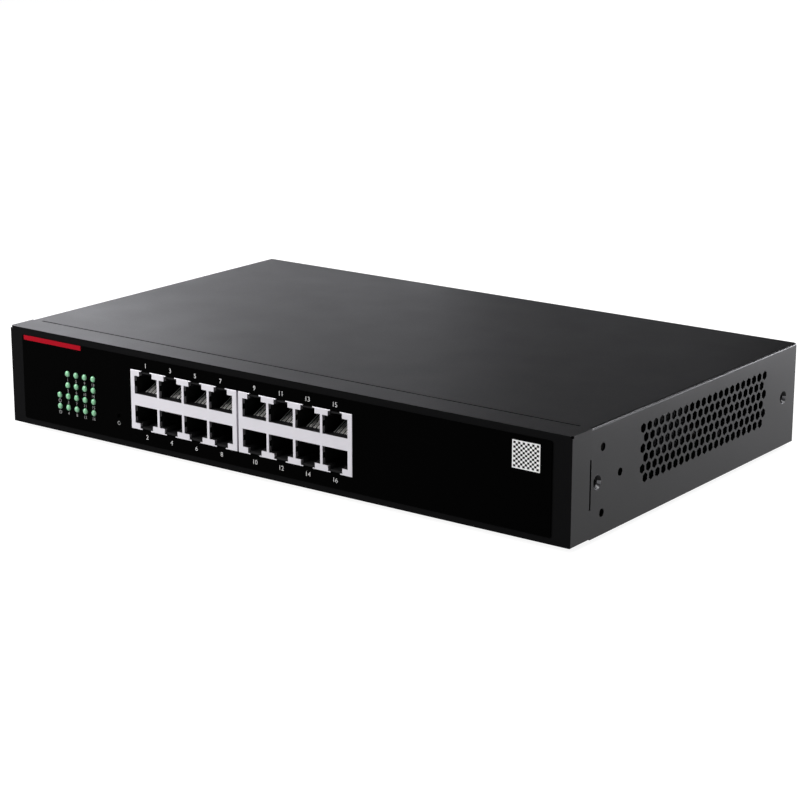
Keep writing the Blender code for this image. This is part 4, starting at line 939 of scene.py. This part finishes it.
def make_earth_sign():
    """Earth sign on the rear wall: a stem over three bars."""
    _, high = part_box("base_tray")
    x, z = EARTH_SIGN_PLACE
    bm = bmesh.new()
    half = EARTH_STROKE / 2
    add_patch(bm, (x - half, z + EARTH_STEM[0]), (x + half, z + EARTH_STEM[1]), high.y)
    for step, reach in enumerate(EARTH_BAR_HALVES):
        level = z + EARTH_BAR_LEVEL - step * EARTH_BAR_PITCH
        add_patch(bm, (x - reach, level), (x + reach, level + EARTH_STROKE), high.y)
    add_piece("earth_sign", raise_ink(bm, REAR), [WHITE_INK])


# Studio

def make_camera():
    """Camera at the fitted angle, distance and roll."""
    flat = math.cos(CAMERA_RISE)
    back = Vector((math.sin(CAMERA_TURN) * flat, -math.cos(CAMERA_TURN) * flat, math.sin(CAMERA_RISE)))
    level = Vector((math.cos(CAMERA_TURN), math.sin(CAMERA_TURN), 0))
    upright = back.cross(level)
    right = level * math.cos(CAMERA_ROLL) + upright * math.sin(CAMERA_ROLL)
    up = upright * math.cos(CAMERA_ROLL) - level * math.sin(CAMERA_ROLL)
    data = bpy.data.cameras.new("camera")
    data.sensor_width = SENSOR
    data.lens = FOCAL_PIXELS / IMAGE * SENSOR
    camera = bpy.data.objects.new("camera", data)
    place = CASE_MIDDLE + back * CAMERA_AWAY + right * CAMERA_ACROSS + up * CAMERA_UP
    camera.matrix_world = Matrix.Translation(place) @ Matrix((right, up, back)).transposed().to_4x4()
    bpy.context.scene.collection.objects.link(camera)
    bpy.context.scene.camera = camera


def add_softbox(name, place, width, height, radiance, colour):
    """Soft rectangular lamp that looks at the case. A gloss card shows only in reflections."""
    data = bpy.data.lights.new(name, "AREA")
    data.shape = "RECTANGLE"
    data.size = width
    data.size_y = height
    data.color = colour
    data.energy = radiance * math.pi * width * height
    lamp = bpy.data.objects.new(name, data)
    look = (CASE_MIDDLE - Vector(place)).to_track_quat("-Z", "Y")
    lamp.matrix_world = Matrix.Translation(place) @ look.to_matrix().to_4x4()
    lamp.visible_camera = False
    lamp.visible_diffuse = name not in GLOSS_CARDS
    bpy.context.scene.collection.objects.link(lamp)


def make_studio():
    """Pale floor that is white to the camera and in reflections, a faint world and the lamps."""
    bm = bmesh.new()
    bmesh.ops.create_grid(bm, x_segments=1, y_segments=1, size=FLOOR_HALF)
    mesh = bpy.data.meshes.new("floor")
    bm.to_mesh(mesh)
    bm.free()
    floor = bpy.data.objects.new("floor", mesh)
    bpy.context.scene.collection.objects.link(floor)
    finish = Finish("pale_floor")
    seen = finish.node("ShaderNodeLightPath", {}, {}, "Is Camera Ray")
    glossy = Wire(finish, seen.socket.node.outputs["Is Glossy Ray"])
    through = Wire(finish, seen.socket.node.outputs["Is Transmission Ray"])
    finish.shade(Base_Color=FLOOR_GREY,
                 Roughness=0.9,
                 Specular_IOR_Level=0,
                 Emission_Strength=FLOOR_GLOW,
                 Emission_Color=finish.mix(seen + glossy + through, (0, 0, 0), WHITE))
    mesh.materials.append(finish.material)

    world = bpy.data.worlds.new("studio")
    bpy.context.scene.world = world
    world.use_nodes = True
    background = world.node_tree.nodes["Background"]
    background.inputs["Color"].default_value = (*WHITE, 1)
    background.inputs["Strength"].default_value = WORLD_LIGHT

    for lamp in LAMPS:
        add_softbox(*lamp)
    bpy.context.scene.view_settings.view_transform = "Standard"


make_camera()
make_studio()
finish_nodes()
make_case()
make_film()
for side in ("left", "right"):
    make_can(side)
    make_body(side)
    make_contacts(side)
make_light_pipes()
make_screws()
make_inlet()
make_feet()
film_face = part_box("front_overlay")[0].y
make_numbers(film_face)
make_signs(film_face)
make_label(film_face)
make_earth_sign()
